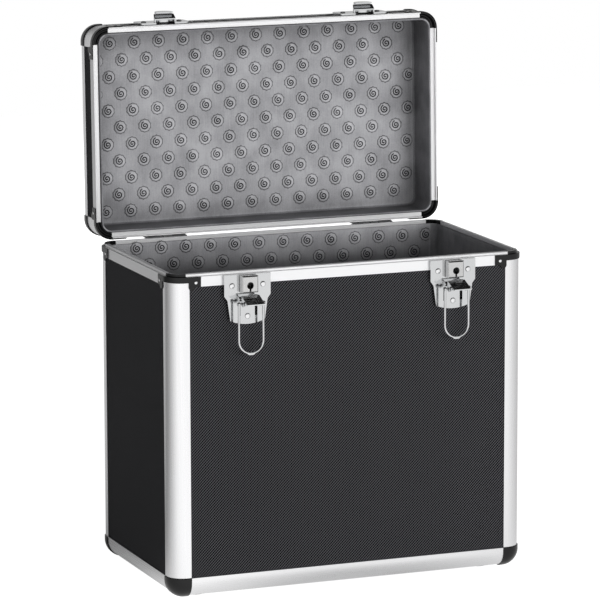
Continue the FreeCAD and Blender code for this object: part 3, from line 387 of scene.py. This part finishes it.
def make_lining(name, dark, pale, roughness):
    material, tree, shader, where = surface(
        name, IOR=1.45, Roughness=roughness, Specular_IOR_Level=0.3
    )
    stretch = [1 / mm(size) for size in (SCRATCH_WIDTH, SCRATCH_WIDTH, SCRATCH_LENGTH)]
    rolled = add(tree, "ShaderNodeMapping", where, Scale=stretch)
    scratches = add(tree, "ShaderNodeTexNoise", Vector=rolled, Scale=1, Detail=3)
    pulled = add(tree, "ShaderNodeTexNoise", Vector=where, Scale=1 / mm(PULLED_SPOT), Detail=2)
    grain = add(tree, "ShaderNodeTexNoise", Vector=where, Scale=1 / mm(VINYL_GRAIN), Detail=1)
    skin = add(tree, "ShaderNodeMath", grain, GRAIN_SHARE, pulled, operation="MULTIPLY_ADD")
    both = add(
        tree, "ShaderNodeMath", scratches, SCRATCH_SHARE, skin, operation="MULTIPLY_ADD"
    )
    share = add(tree, "ShaderNodeMapRange", both, *TONE_RANGE, 0, 1)
    base = add(
        tree,
        "ShaderNodeMix",
        share,
        sockets={6: colour(dark), 7: colour(pale)},
        data_type="RGBA",
    )
    open_share = add(
        tree, "ShaderNodeAmbientOcclusion", Distance=mm(SHADE_REACH), samples=8
    )
    # Painted shade: the colour is darker where little of the space around is open.
    shade = add(tree, "ShaderNodeMapRange", open_share.outputs["AO"], *SHADE)
    shaded_colour = add(tree, "ShaderNodeVectorMath", base.outputs[2], shade, operation="MULTIPLY")
    tree.links.new(shaded_colour.outputs[0], shader.inputs["Base Color"])
    bump = add(tree, "ShaderNodeBump", Strength=0.45, Distance=mm(RELIEF), Height=both)
    tree.links.new(bump.outputs[0], shader.inputs["Normal"])
    return material


lining_face = make_lining("pressed_vinyl_foam", "#858588", "#a3a3a6", 0.42)
# Painted shade: a darker copy of the vinyl for the walls that look sideways.
lining_shaded_wall = make_lining("pressed_vinyl_sides_shaded", "#67676a", "#88888b", 0.5)
# Painted shade: the pressed lines and the ring are darker copies of the vinyl.
lining_line = make_lining("pressed_vinyl_line", "#1d1d1f", "#525255", 0.5)
lining_ring = make_lining("pressed_vinyl_ring", "#3a3a3c", "#7c7c7f", 0.5)
# Painted highlight: the swelling is a paler copy of the vinyl.
lining_swell_highlight = make_lining("pressed_vinyl_swelling_highlight", "#97979a", "#b4b4b7", 0.36)
print("vinyl in the open, shaded from", SHADE_REACH, "mm around it")

# %% [markdown]
# Each CAD node takes a finish by the slot that the record gives it, and a rail also by
# the direction in which it runs.

# %% Finishes
FINISH = {
    "laminate": laminate,
    "aluminium": DRAWN[2],
    "corner_plastic": plastic,
    "lining": lining_face,
    "chrome": chrome,
    "lock_metal": satin_chrome,
    "steel": zinc,
    "rubber": rubber,
    "grip_plastic": grip_plastic,
}
SPECIAL = {
    "latch_lever_left": lever_chrome,
    "latch_lever_right": lever_chrome,
    "lid_rim_corners": ribbed_plastic,
}


def finish_of(name):
    """The material of a node. A rail's longest side tells which way it was drawn."""
    if slot_of[name] == "aluminium" and "rail" in name:
        low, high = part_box(name)
        size = list(high - low)
        return (SATIN if "rim_rail" in name else DRAWN)[size.index(max(size))]
    return SPECIAL.get(name, FINISH[slot_of[name]])


for name, obj in nodes.items():
    obj.data.materials.clear()
    obj.data.materials.append(finish_of(name))
print(len(nodes), "CAD nodes finished")

# %% [markdown]
# Real edges are never sharp, and the thin bright line along an edge is what makes
# metal look like metal. A CAD mesh can't take a bevel as it comes, because its faces
# don't share their corners. So a copy is merged, its flat faces are joined again, and
# only edges sharper than 30 degrees stay sharp and get a narrow bevel. The bails and the
# handle's bow are rods that the CAD model draws with few sides, so they are rounded by
# subdivision instead.

# %% Dressed copies of metal and plastic
EDGE = {
    "aluminium": 0.35,
    "corner_plastic": 0.45,
    "chrome": 0.22,
    "lock_metal": 0.3,
    "steel": 0.15,
}
ROUNDED = ("bail_left", "bail_right", "handle_bow")
MERGE_WITHIN = 0.004
FLAT_ANGLE, SHARP_ANGLE = 1, 30
BEVEL_STEPS, ROUNDING_LEVEL = 2, 1


def mesh_object(name, bm, *materials):
    mesh = bpy.data.meshes.new(name)
    bm.to_mesh(mesh)
    bm.free()
    for material in materials:
        mesh.materials.append(material)
    obj = bpy.data.objects.new(name, mesh)
    bpy.context.scene.collection.objects.link(obj)
    return obj


def merged_copy(name):
    """The node's mesh with shared corners, without the shading stored in the CAD mesh."""
    plain = nodes[name].data.copy()
    if "custom_normal" in plain.attributes:
        plain.attributes.remove(plain.attributes["custom_normal"])
    bm = bmesh.new()
    bm.from_mesh(plain)
    bpy.data.meshes.remove(plain)
    bmesh.ops.remove_doubles(bm, verts=bm.verts, dist=mm(MERGE_WITHIN))
    if name not in ROUNDED:
        flat = math.radians(FLAT_ANGLE)
        bmesh.ops.dissolve_limit(bm, angle_limit=flat, verts=bm.verts, edges=bm.edges)
    return bm


# %% [markdown]
# The hollow of a ball corner is a bevelled block, and three of its corners just reach
# the round outside, which leaves pinholes 1.7 mm across. A moulded corner has none.
# Round a pinhole the hollow and the outside meet in a knife edge, so these edges are
# split, both sides are closed, and the inner patch is pushed back to leave a wall.

# %% Closed ball corners
PINHOLED, KNIFE_ANGLE, PATCH_DEPTH = ("base_corners", "lid_ball_corners"), 120, 0.8


def close_pinholes(bm):
    """Closes the outside and the hollow separately round each pinhole."""
    middle = sum((vert.co for vert in bm.verts), Vector()) / len(bm.verts)
    knife = [e for e in bm.edges if e.calc_face_angle(0) > math.radians(KNIFE_ANGLE)]
    bmesh.ops.split_edges(bm, edges=knife)
    rims = [edge for edge in bm.edges if edge.is_boundary]
    patches = bmesh.ops.holes_fill(bm, edges=rims, sides=0)["faces"]
    inner = 0
    for patch in patches:
        loop = patch.loops[0]
        if loop.link_loop_radial_next.vert == loop.vert:
            patch.normal_flip()
        patch.normal_update()
        if patch.normal.dot(patch.calc_center_median() - middle) < 0:
            inner += 1
            for vert in patch.verts:
                vert.co += patch.normal * mm(PATCH_DEPTH)
    print(len(knife), "knife edges,", len(patches), "patches,", inner, "of them inside")


# %% [markdown]
# Each piece of metal or plastic can now be dressed. Flat pieces get a narrow bevel of
# two steps on their sharp edges, as wide as a stamped, sawn or moulded edge really is.

# %% Rounded edges
def dressed(name):
    """A copy of the node with rounded edges, which rides with its body in its place."""
    bm = merged_copy(name)
    if name in PINHOLED:
        close_pinholes(bm)
    wire = name in ROUNDED
    limit = math.radians(SHARP_ANGLE)
    for face in bm.faces:
        face.smooth = True
    for edge in bm.edges:
        edge.smooth = wire or edge.calc_face_angle(math.pi) < limit
    obj = mesh_object(name + "_dressed", bm, finish_of(name))
    if wire:
        rounding = obj.modifiers.new("rounding", "SUBSURF")
        rounding.levels = rounding.render_levels = ROUNDING_LEVEL
    else:
        bevel = obj.modifiers.new("edge", "BEVEL")
        bevel.width = mm(EDGE[slot_of[name]])
        bevel.segments = BEVEL_STEPS
        bevel.limit_method = "ANGLE"
        bevel.angle_limit = limit
        bevel.harden_normals = True
    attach(obj, body_of[name])
    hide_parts(name)
    return obj


RIVETS = ("body_rivets", "lid_rivets")
copies = [dressed(name) for name in nodes if slot_of[name] in EDGE and name not in RIVETS]
print(len(copies), "dressed copies")

# %% [markdown]
# The rivets' heads are many small domes, which is work for Geometry Nodes. The CAD
# model already says where each one sits: every loose island of its mesh is a head, with
# a wide twelve-sided face below and a narrow one on top. The tree is given one point
# for each head, with its turn and its size, and sets a squashed ball there whose lower
# half is pressed flat.


# %% Tree for the rivets' heads
def node_group(name, inputs):
    tree = bpy.data.node_groups.new(name, "GeometryNodeTree")
    tree.interface.new_socket("Geometry", in_out="INPUT", socket_type="NodeSocketGeometry")
    for label, value in inputs.items():
        kind = "NodeSocketMaterial" if value is None else "NodeSocketFloat"
        socket = tree.interface.new_socket(label, in_out="INPUT", socket_type=kind)
        if value is not None:
            socket.default_value = value
    tree.interface.new_socket("Geometry", in_out="OUTPUT", socket_type="NodeSocketGeometry")
    return tree


HEAD_SIDES, HEAD_RINGS, HEAD_CROWN = 16.0, 8, 0.55


def rivet_tree():
    """Domes on points: the crown's power below one makes them flatter on top."""
    sizes = {"Sides": HEAD_SIDES, "Crown": HEAD_CROWN, "Material": None}
    tree = node_group("rivet_heads", sizes)
    given = tree.nodes.new("NodeGroupInput").outputs
    ball = add(tree, "GeometryNodeMeshUVSphere", given["Sides"], HEAD_RINGS)
    place = add(tree, "ShaderNodeSeparateXYZ", add(tree, "GeometryNodeInputPosition")).outputs
    above = add(tree, "ShaderNodeMath", place[2], 0.0, operation="MAXIMUM")
    crown = add(tree, "ShaderNodeMath", above, given["Crown"], operation="POWER")
    pressed = add(tree, "ShaderNodeCombineXYZ", place[0], place[1], crown)
    dome = add(tree, "GeometryNodeSetPosition", ball, Position=pressed)
    turn = add(tree, "GeometryNodeInputNamedAttribute", "turn", data_type="FLOAT_VECTOR")
    size = add(tree, "GeometryNodeInputNamedAttribute", "size", data_type="FLOAT_VECTOR")
    spots = add(
        tree,
        "GeometryNodeInstanceOnPoints",
        given["Geometry"],
        Instance=dome,
        Rotation=add(tree, "FunctionNodeEulerToRotation", turn),
        Scale=size,
    )
    real = add(tree, "GeometryNodeRealizeInstances", spots)
    smooth = add(tree, "GeometryNodeSetShadeSmooth", real, Shade_Smooth=True)
    painted = add(tree, "GeometryNodeSetMaterial", smooth, Material=given["Material"])
    tree.links.new(painted.outputs[0], tree.nodes.new("NodeGroupOutput").inputs[0])
    return tree


rivet_heads = rivet_tree()

# %% [markdown]
# A modifier's inputs are set by their identifiers before the object is evaluated. The
# result is turned into a plain mesh, so that nothing is left to compute.


# %% Points for the heads
def grown(name, spots, tree, materials, attributes):
    """A plain mesh grown by a tree on points, each with its attributes."""
    mesh = bpy.data.meshes.new(name + "_points")
    mesh.from_pydata([spot[0] for spot in spots], [], [])
    for place, label in enumerate(attributes, 1):
        layer = mesh.attributes.new(label, "FLOAT_VECTOR", "POINT")
        for index, spot in enumerate(spots):
            layer.data[index].vector = spot[place]
    obj = bpy.data.objects.new(name, mesh)
    bpy.context.scene.collection.objects.link(obj)
    modifier = obj.modifiers.new("grown", "NODES")
    modifier.node_group = tree
    for item in tree.interface.items_tree:
        if item.in_out == "INPUT" and item.name in materials:
            modifier[item.identifier] = materials[item.name]
    bpy.context.view_layer.update()
    evaluated = obj.evaluated_get(bpy.context.evaluated_depsgraph_get())
    made = bpy.data.meshes.new_from_object(evaluated)
    obj.modifiers.clear()
    obj.data = made
    print(name, len(spots), "spots,", len(made.polygons), "faces")
    return obj


def heads(name):
    """Base, turn and size of each rivet's head in the CAD node."""
    bm = merged_copy(name)
    spots, seen = [], set()
    for start in bm.verts:
        if start in seen:
            continue
        island = [start]
        seen.add(start)
        for vert in island:
            near = [edge.other_vert(vert) for edge in vert.link_edges]
            island += [other for other in near if other not in seen]
            seen.update(near)
        faces = dict.fromkeys(face for vert in island for face in vert.link_faces)
        sides = max(len(face.verts) for face in faces)
        rounds = [face for face in faces if len(face.verts) == sides]
        top, base = sorted(rounds, key=lambda face: face.calc_area())[-2:]
        foot = base.calc_center_median()
        out = top.calc_center_median() - foot
        radius = max((vert.co - foot).length for vert in base.verts)
        turn = out.to_track_quat("Z", "Y").to_euler()
        spots.append((foot, turn, (radius, radius, out.length)))
    bm.free()
    return spots


for name in RIVETS:
    paint = {"Material": rivet_chrome}
    domes = grown(name + "_domes", heads(name), rivet_heads, paint, ("turn", "size"))
    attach(domes, body_of[name])
    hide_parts(name)

# %% [markdown]
# The linings are trays with rounded corners. One outline, a rounded rectangle, is
# repeated at many offsets and heights from the middle of the floor, up the inside,
# over a soft lip and down the outside, and neighbouring outlines are joined. The lid's
# tray is the same thing upside down, swung open with the lid about its hinges. The
# walls that look sideways, and all walls of the lid, have a darker copy of the vinyl,
# which is painted shade.

# %% Sizes of the case
BASE_Z, RIM_Z, LID_Z, TOP_Z = 2.5, 301.3, 301.7, 348.2
LINING_OFFSET, LINING_THICK, LINING_DROP = 5.7, 1.8, 0.7
swing = (
    Matrix.Translation(mm(*HINGE))
    @ Matrix.Rotation(math.radians(-LID_ANGLE), 4, "X")
    @ Matrix.Translation(-mm(*HINGE))
)
print("lining", LINING_THICK, "mm thick,", LINING_OFFSET, "mm inside the case's faces")


# %% Outline of a lining
CORNER_STEPS, LEAST_RADIUS = 8, 1.5


def outline(offset, height):
    """Corners of a rounded rectangle, offset inwards from the case's outer faces."""
    half_x, half_y = CASE_WIDTH / 2 - offset, CASE_DEPTH / 2 - offset
    radius = max(RAIL_RADIUS - offset, LEAST_RADIUS)
    points = []
    for sx, sy, start in ((1, 1, 0), (-1, 1, 90), (-1, -1, 180), (1, -1, 270)):
        for step in range(CORNER_STEPS + 1):
            angle = math.radians(start + 90 * step / CORNER_STEPS)
            x = sx * (half_x - radius) + radius * math.cos(angle)
            y = sy * (half_y - radius) + radius * math.sin(angle)
            points.append(mm(x, y, height))
    return points


# %% Trays of the linings
FLOOR_BEND, FLOOR_EDGE, LIP_STRAIGHT, FOOT_CHAMFER = 3.0, 5, 6, 1.0
BEND_STEPS = 4
SIDEWAYS = 0.35


def tray_profile(floor, lip, way):
    """Offsets and heights from the floor inside, over the lip, to the floor outside."""
    inner = LINING_OFFSET + LINING_THICK
    half = LINING_THICK / 2
    profile = [(inner + FLOOR_EDGE, floor + way * LINING_THICK)]
    for step in range(BEND_STEPS + 1):
        angle = math.radians(90 * step / BEND_STEPS)
        across = inner + FLOOR_BEND - FLOOR_BEND * math.sin(angle)
        up = LINING_THICK + FLOOR_BEND - FLOOR_BEND * math.cos(angle)
        profile.append((across, floor + way * up))
    profile.append((inner, lip - way * LIP_STRAIGHT))
    for step in range(BEND_STEPS + 1):
        angle = math.pi * step / BEND_STEPS
        across = inner - half + half * math.cos(angle)
        profile.append((across, lip - way * half + way * half * math.sin(angle)))
    profile.append((LINING_OFFSET, floor + way * FOOT_CHAMFER))
    profile.append((LINING_OFFSET + FOOT_CHAMFER, floor))
    return profile


def tray(name, floor, lip, way):
    """A lining: floor and lip are heights of its outer floor and its edge, way is up."""
    profile = tray_profile(floor, lip, way)
    bm = bmesh.new()
    rings = [[bm.verts.new(p) for p in outline(across, up)] for across, up in profile]
    count = len(rings[0])
    for low, high in zip(rings, rings[1:]):
        for i in range(count):
            j = (i + 1) % count
            bm.faces.new((low[i], low[j], high[j], high[i]))
    bm.faces.new(list(reversed(rings[0])))
    bm.faces.new(rings[-1])
    bmesh.ops.recalc_face_normals(bm, faces=bm.faces)
    for face in bm.faces:
        face.smooth = len(face.verts) == 4
        across, deep = abs(face.normal.x), abs(face.normal.y)
        # Painted shade: walls that look sideways, and the lid's walls, take the darker vinyl.
        plain = across > SIDEWAYS or (way < 0 and deep > SIDEWAYS)
        face.material_index = int(plain)
    return mesh_object(name, bm, lining_face, lining_shaded_wall)


body_tray = tray("body_lining_sheet", BASE_Z + LINING_OFFSET, RIM_Z - LINING_DROP, 1)
lid_tray = tray("lid_lining_sheet", TOP_Z - LINING_OFFSET, LID_Z + LINING_DROP, -1)
print("linings", [len(o.data.polygons) for o in (body_tray, lid_tray)])

# %% [markdown]
# The pressed pattern repeats hundreds of times, which is work for Geometry Nodes.
# One tree draws a motif: a low swelling, a thin scalloped ring round it, whose points
# lie in and out by turns, and a thick spiral on it. It sets the motif on every point
# that it is given and paints the lines and the swelling.

# %% Tree for the pressed spirals
RING_RADIUS, SPIRAL_START, SPIRAL_END, SPIRAL_TURNS = 6.0, 0.5, 4.2, 1.7
RING_HALF, SPIRAL_HALF, LINE_HEIGHT, SWELL_HEIGHT = 0.45, 0.75, 0.4, 0.7
RING_POINTS, SCALLOP = 20, 0.11
SPIRAL_POINTS, SECTION_POINTS = 12, 3
SWELL_SIDES, SWELL_TOP = 14, 0.82


def pressed_tree():
    tree = node_group(
        "pressed_spirals",
        {
            "Ring Radius": mm(RING_RADIUS),
            "Spiral Radius": mm(SPIRAL_END),
            "Turns": SPIRAL_TURNS,
            "Swelling": mm(SWELL_HEIGHT),
            "Scallop": SCALLOP,
            "Line": None,
            "Ring": None,
            "Swell": None,
        },
    )
    given = tree.nodes.new("NodeGroupInput").outputs
    circle = add(
        tree,
        "GeometryNodeCurvePrimitiveCircle",
        Resolution=RING_POINTS,
        Radius=given["Ring Radius"],
    )
    index = add(tree, "GeometryNodeInputIndex")
    odd = add(tree, "ShaderNodeMath", index, 2, operation="MODULO")
    stretch = add(
        tree, "ShaderNodeMath", odd, given["Scallop"], 1 - SCALLOP / 2, operation="MULTIPLY_ADD"
    )
    place = add(tree, "GeometryNodeInputPosition")
    waved = add(tree, "ShaderNodeVectorMath", place, sockets={3: stretch}, operation="SCALE")
    ring = add(tree, "GeometryNodeSetPosition", circle, Position=waved)
    spiral = add(
        tree,
        "GeometryNodeCurveSpiral",
        Resolution=SPIRAL_POINTS,
        Rotations=given["Turns"],
        Start_Radius=mm(SPIRAL_START),
        End_Radius=given["Spiral Radius"],
        Height=0.0,
    )
    motif = add(tree, "GeometryNodeJoinGeometry")
    for label, curve, half, lift in (
        ("ring", ring, RING_HALF, 0),
        ("spiral", spiral, SPIRAL_HALF, SWELL_HEIGHT),
    ):
        section = add(
            tree, "GeometryNodeCurvePrimitiveCircle", Resolution=SECTION_POINTS, Radius=1.0
        )
        scale = (mm(half), mm(LINE_HEIGHT), 1)
        flat = add(tree, "GeometryNodeTransform", section, Scale=scale)
        line = add(tree, "GeometryNodeCurveToMesh", curve, flat, Fill_Caps=True)
        raised = add(tree, "GeometryNodeTransform", line, Translation=(0, 0, mm(lift)))
        named = add(
            tree,
            "GeometryNodeStoreNamedAttribute",
            raised,
            Name=label,
            Value=True,
            data_type="BOOLEAN",
        )
        tree.links.new(named.outputs[0], motif.inputs[0])
    disc = add(tree, "GeometryNodeMeshCone", SWELL_SIDES, 1, 1, SWELL_TOP, 1.0, 1.0)
    wide = add(
        tree,
        "ShaderNodeCombineXYZ",
        given["Ring Radius"],
        given["Ring Radius"],
        given["Swelling"],
    )
    swelling = add(tree, "GeometryNodeTransform", disc, Scale=wide)
    tree.links.new(swelling.outputs[0], motif.inputs[0])
    turn = add(tree, "GeometryNodeInputNamedAttribute", "turn", data_type="FLOAT_VECTOR")
    spots = add(
        tree,
        "GeometryNodeInstanceOnPoints",
        given["Geometry"],
        Instance=motif,
        Rotation=add(tree, "FunctionNodeEulerToRotation", turn),
    )
    real = add(tree, "GeometryNodeRealizeInstances", spots)
    painted = add(tree, "GeometryNodeSetMaterial", real, Material=given["Swell"])
    for label, material in (("ring", "Ring"), ("spiral", "Line")):
        chosen = add(tree, "GeometryNodeInputNamedAttribute", label, data_type="BOOLEAN")
        painted = add(
            tree,
            "GeometryNodeSetMaterial",
            painted,
            Selection=chosen,
            Material=given[material],
        )
    tree.links.new(painted.outputs[0], tree.nodes.new("NodeGroupOutput").inputs[0])
    return tree


pressed = pressed_tree()
print("motif", 2 * RING_RADIUS, "mm wide, spiral of", SPIRAL_TURNS, "turns")

# %% [markdown]
# The motifs stand in rows 16.1 mm apart and 24.75 mm apart in a row, and each second
# row is moved by half a step. The sheet is glued in a little askew and is cut through
# the motifs at its edges. A wall is given by the middle of its face, the directions of
# its rows and columns, half its size, and where the first motif lies from its middle.
# The turn is kept as an attribute on each point, so that the ring lies flat on its wall.

# %% Points for the spirals
ROW_STEP, MOTIF_STEP, EDGE_GAP = 16.1, 24.75, -1.0


def wall_points(
    middle, across, up, half_across, half_up, first=(0, 0), askew=0, lean=0
):
    """Positions and turns of the motifs on one wall, in millimetres."""
    turn = Matrix((across, up, across.cross(up))).transposed().to_euler()
    found = []
    margin = RING_RADIUS + EDGE_GAP
    rows = int(2 * half_up // ROW_STEP) + 2
    columns = int(2 * half_across // MOTIF_STEP) + 2
    for row in range(-rows, rows + 1):
        for column in range(-columns, columns + 1):
            u = (column + (row % 2) / 2) * MOTIF_STEP + first[0] + lean * row
            v = row * ROW_STEP + first[1] + askew * u
            if abs(u) <= half_across - margin and abs(v) <= half_up - margin:
                found.append((mm(*(middle + across * u + up * v)), turn))
    return found


LINING_PAINTS = {"Line": lining_line, "Ring": lining_ring, "Swell": lining_swell_highlight}


def pattern(name, walls, matrix):
    """The motifs of all the walls as one mesh, moved by the matrix."""
    spots = [spot for wall in walls for spot in wall_points(*wall)]
    obj = grown(name, spots, pressed, LINING_PAINTS, ("turn",))
    obj.data.transform(matrix)
    return obj


# %% [markdown]
# The spirals show on the body's front, back and floor and on the lid's ceiling. Where
# the first motif lies, how far askew the rows run and how they lean was measured on the
# two walls that the picture shows, the body's back and the lid's ceiling.

# %% Walls with spirals
X, Y, Z = Vector((1, 0, 0)), Vector((0, 1, 0)), Vector((0, 0, 1))
BACK_FIRST, BACK_ASKEW = (9.4, 293.0), -0.018
LID_FIRST, LID_ASKEW, LID_LEAN = (3.1, 82.6), 0.0115, 0.65
inner_x = CASE_WIDTH / 2 - LINING_OFFSET - LINING_THICK
inner_y = CASE_DEPTH / 2 - LINING_OFFSET - LINING_THICK
floor_z = BASE_Z + LINING_OFFSET + LINING_THICK
body_high = (RIM_Z - LINING_DROP - floor_z) / 2
body_mid = floor_z + body_high
back_first = (BACK_FIRST[0], BACK_FIRST[1] - body_mid)
body_walls = [
    (Vector((0, inner_y, body_mid)), X, Z, inner_x, body_high, back_first, BACK_ASKEW),
    (Vector((0, -inner_y, body_mid)), X, -Z, inner_x, body_high),
    (Vector((0, 0, floor_z)), X, Y, inner_x, inner_y),
]
ceiling_z = TOP_Z - LINING_OFFSET - LINING_THICK
lid_walls = [
    (Vector((0, 0, ceiling_z)), X, -Y, inner_x, inner_y, LID_FIRST, LID_ASKEW, LID_LEAN),
]
body_pattern = pattern("body_lining_spirals", body_walls, Matrix())
lid_pattern = pattern("lid_lining_spirals", lid_walls, swing)
lid_tray.data.transform(swing)


# %% [markdown]
# The pattern and the tray become one piece for each lining, so that they move together.
# The piece stands for the plain CAD lining.


# %% Join the linings
def joined(first, second, name):
    bpy.ops.object.select_all(action="DESELECT")
    for obj in (first, second):
        obj.select_set(True)
    bpy.context.view_layer.objects.active = first
    bpy.ops.object.join()
    first.name = name
    return first


for sheet, spirals, body, node in (
    (body_tray, body_pattern, "case", "body_lining"),
    (lid_tray, lid_pattern, "lid", "lid_lining"),
):
    obj = joined(sheet, spirals, node + "_pressed")
    print(obj.name, len(obj.data.polygons), "faces")
    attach(obj, body)
    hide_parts(node)

# %% [markdown]
# The studio: a white background that only the camera sees, and walls of different
# brightness that light the case and show in its metal. They are white in front, dim on
# the left and behind, and black overhead. That gives a rounded rail its dark and bright
# bands and keeps the inside of the case dark. A ramp over the direction draws them: each
# row is an angle in degrees from straight in front, positive to the right, and the
# brightness of the wall there.

# %% Walls of the studio
WALLS = (
    (-180, 0.46),
    (-158, 0.5),
    (-127, 0.18),
    (-100, 0.32),
    (-74, 0.6),
    (-50, 0.92),
    (-24, 1.0),
    (21, 0.93),
    (61, 0.68),
    (101, 0.5),
    (141, 0.46),
    (180, 0.46),
)
WALL_STRENGTH, DARK_ABOVE, BLACK_ABOVE, OVERHEAD = 1.2, 0.2, 0.5, 0.03


def studio_walls(tree, x, y):
    """Brightness of the studio in the direction x, y seen from the case."""
    front = add(tree, "ShaderNodeMath", y, -1, operation="MULTIPLY")
    azimuth = add(tree, "ShaderNodeMath", x, front, operation="ARCTAN2")
    share = add(tree, "ShaderNodeMath", azimuth, 1 / math.tau, 0.5, operation="MULTIPLY_ADD")
    ramp = add(tree, "ShaderNodeValToRGB", share)
    stops = ramp.color_ramp.elements
    for stop, (_, value) in zip(stops, (WALLS[0], WALLS[-1])):
        stop.color = (value, value, value, 1)
    for angle, value in WALLS[1:-1]:
        stops.new((angle + 180) / 360).color = (value, value, value, 1)
    return ramp


def make_world():
    world = bpy.data.worlds.new("studio")
    world.use_nodes = True
    tree = world.node_tree
    tree.nodes.clear()
    where = add(tree, "ShaderNodeTexCoord").outputs["Generated"]
    x, y, height = add(tree, "ShaderNodeSeparateXYZ", where).outputs
    walls = studio_walls(tree, x, y)
    heights = (DARK_ABOVE, BLACK_ABOVE)
    fade = add(tree, "ShaderNodeMapRange", height, *heights, WALL_STRENGTH, OVERHEAD)
    light = add(tree, "ShaderNodeMath", walls, fade, operation="MULTIPLY")
    ray = add(tree, "ShaderNodeLightPath").outputs
    camera_ray, through_ray = ray["Is Camera Ray"], ray["Is Transmission Ray"]
    seen = add(tree, "ShaderNodeMath", camera_ray, through_ray, operation="MAXIMUM")
    strength = add(tree, "ShaderNodeMix", seen, sockets={2: light, 3: 1.0})
    shine = add(tree, "ShaderNodeBackground", (1, 1, 1, 1), strength)
    add(tree, "ShaderNodeOutputWorld", shine)
    bpy.context.scene.world = world


make_world()
print("studio walls at", len(WALLS), "angles")

# %% [markdown]
# One large lamp in front, low and a little to the right, lights the faces that look at
# the camera, and a weak one behind keeps the back from going black. Neither shows in
# the metal, where the bright walls stand for them. Each row is a lamp's place and size
# in metres and its power in watts.

# %% Lamps
LAMPS = {
    "front_softbox": ((0.7, -2.6, 0.5), (1.8, 0.5), 58),
    "back_softbox": ((0.9, 2.5, 0.9), (1.6, 1.0), 22),
}
LAMP_TARGET = mm(0, 0, 250)
for name, (position, size, power) in LAMPS.items():
    lamp_data = bpy.data.lights.new(name, "AREA")
    lamp_data.shape = "RECTANGLE"
    lamp_data.size, lamp_data.size_y = size
    lamp_data.energy = power
    lamp = bpy.data.objects.new(name, lamp_data)
    lamp.location = position
    lamp.rotation_euler = (Vector(position) - LAMP_TARGET).to_track_quat("Z", "Y").to_euler()
    lamp.visible_glossy = False
    bpy.context.scene.collection.objects.link(lamp)
    print(name, power, "W")

# %% [markdown]
# The floor is white paper. To the camera it is nearly white by itself, and what light
# it gets adds the rest, so only the shadow under the case shows. In the metal it shows
# a painted glow, as bright as the wall behind it, with a painted shadow that makes it
# darker close to the case.

# %% Floor
FLOOR_HALF, FLOOR_DROP = 3000, 0.5
FLOOR_PAPER, FLOOR_GLOW = "#c4c4c4", 0.93
NEAR, FAR, NEAR_SHADOW_SHARE = 105, 200, 0.5


def make_floor():
    bm = bmesh.new()
    bmesh.ops.create_grid(bm, x_segments=1, y_segments=1, size=mm(FLOOR_HALF))
    material, tree, shader, where = surface(
        "paper_floor", Base_Color=colour(FLOOR_PAPER), Roughness=0.9
    )
    x, y, height = add(tree, "ShaderNodeSeparateXYZ", where).outputs
    walls = studio_walls(tree, x, y)
    distance = add(tree, "ShaderNodeVectorMath", where, operation="LENGTH").outputs["Value"]
    # Painted shadow: the glow seen in the metal fades to half close to the case.
    levels = (NEAR_SHADOW_SHARE * WALL_STRENGTH, WALL_STRENGTH)
    fade = add(tree, "ShaderNodeMapRange", distance, mm(NEAR), mm(FAR), *levels)
    shown = add(tree, "ShaderNodeMath", walls, fade, operation="MULTIPLY")
    # Painted light: the floor glows where it is seen in the metal.
    mirrored = add(tree, "ShaderNodeEmission", (1, 1, 1, 1), shown)
    glow = add(tree, "ShaderNodeEmission", (1, 1, 1, 1), FLOOR_GLOW)
    paper = add(tree, "ShaderNodeAddShader", shader, glow)
    ray = add(tree, "ShaderNodeLightPath").outputs
    seen = add(tree, "ShaderNodeMixShader", ray["Is Camera Ray"], shader, paper)
    both = add(tree, "ShaderNodeMixShader", ray["Is Glossy Ray"], seen, mirrored)
    output = next(node for node in tree.nodes if node.type == "OUTPUT_MATERIAL")
    tree.links.new(both.outputs[0], output.inputs[0])
    material.cycles.emission_sampling = "NONE"
    floor = mesh_object("floor", bm, material)
    floor.data.transform(Matrix.Translation((0, 0, -mm(FLOOR_DROP))))


make_floor()
print("floor", FLOOR_DROP, "mm under the feet")

# %% [markdown]
# The plain Standard view shows a colour about as it is written.

# %% Colour management
bpy.context.scene.view_settings.view_transform = "Standard"
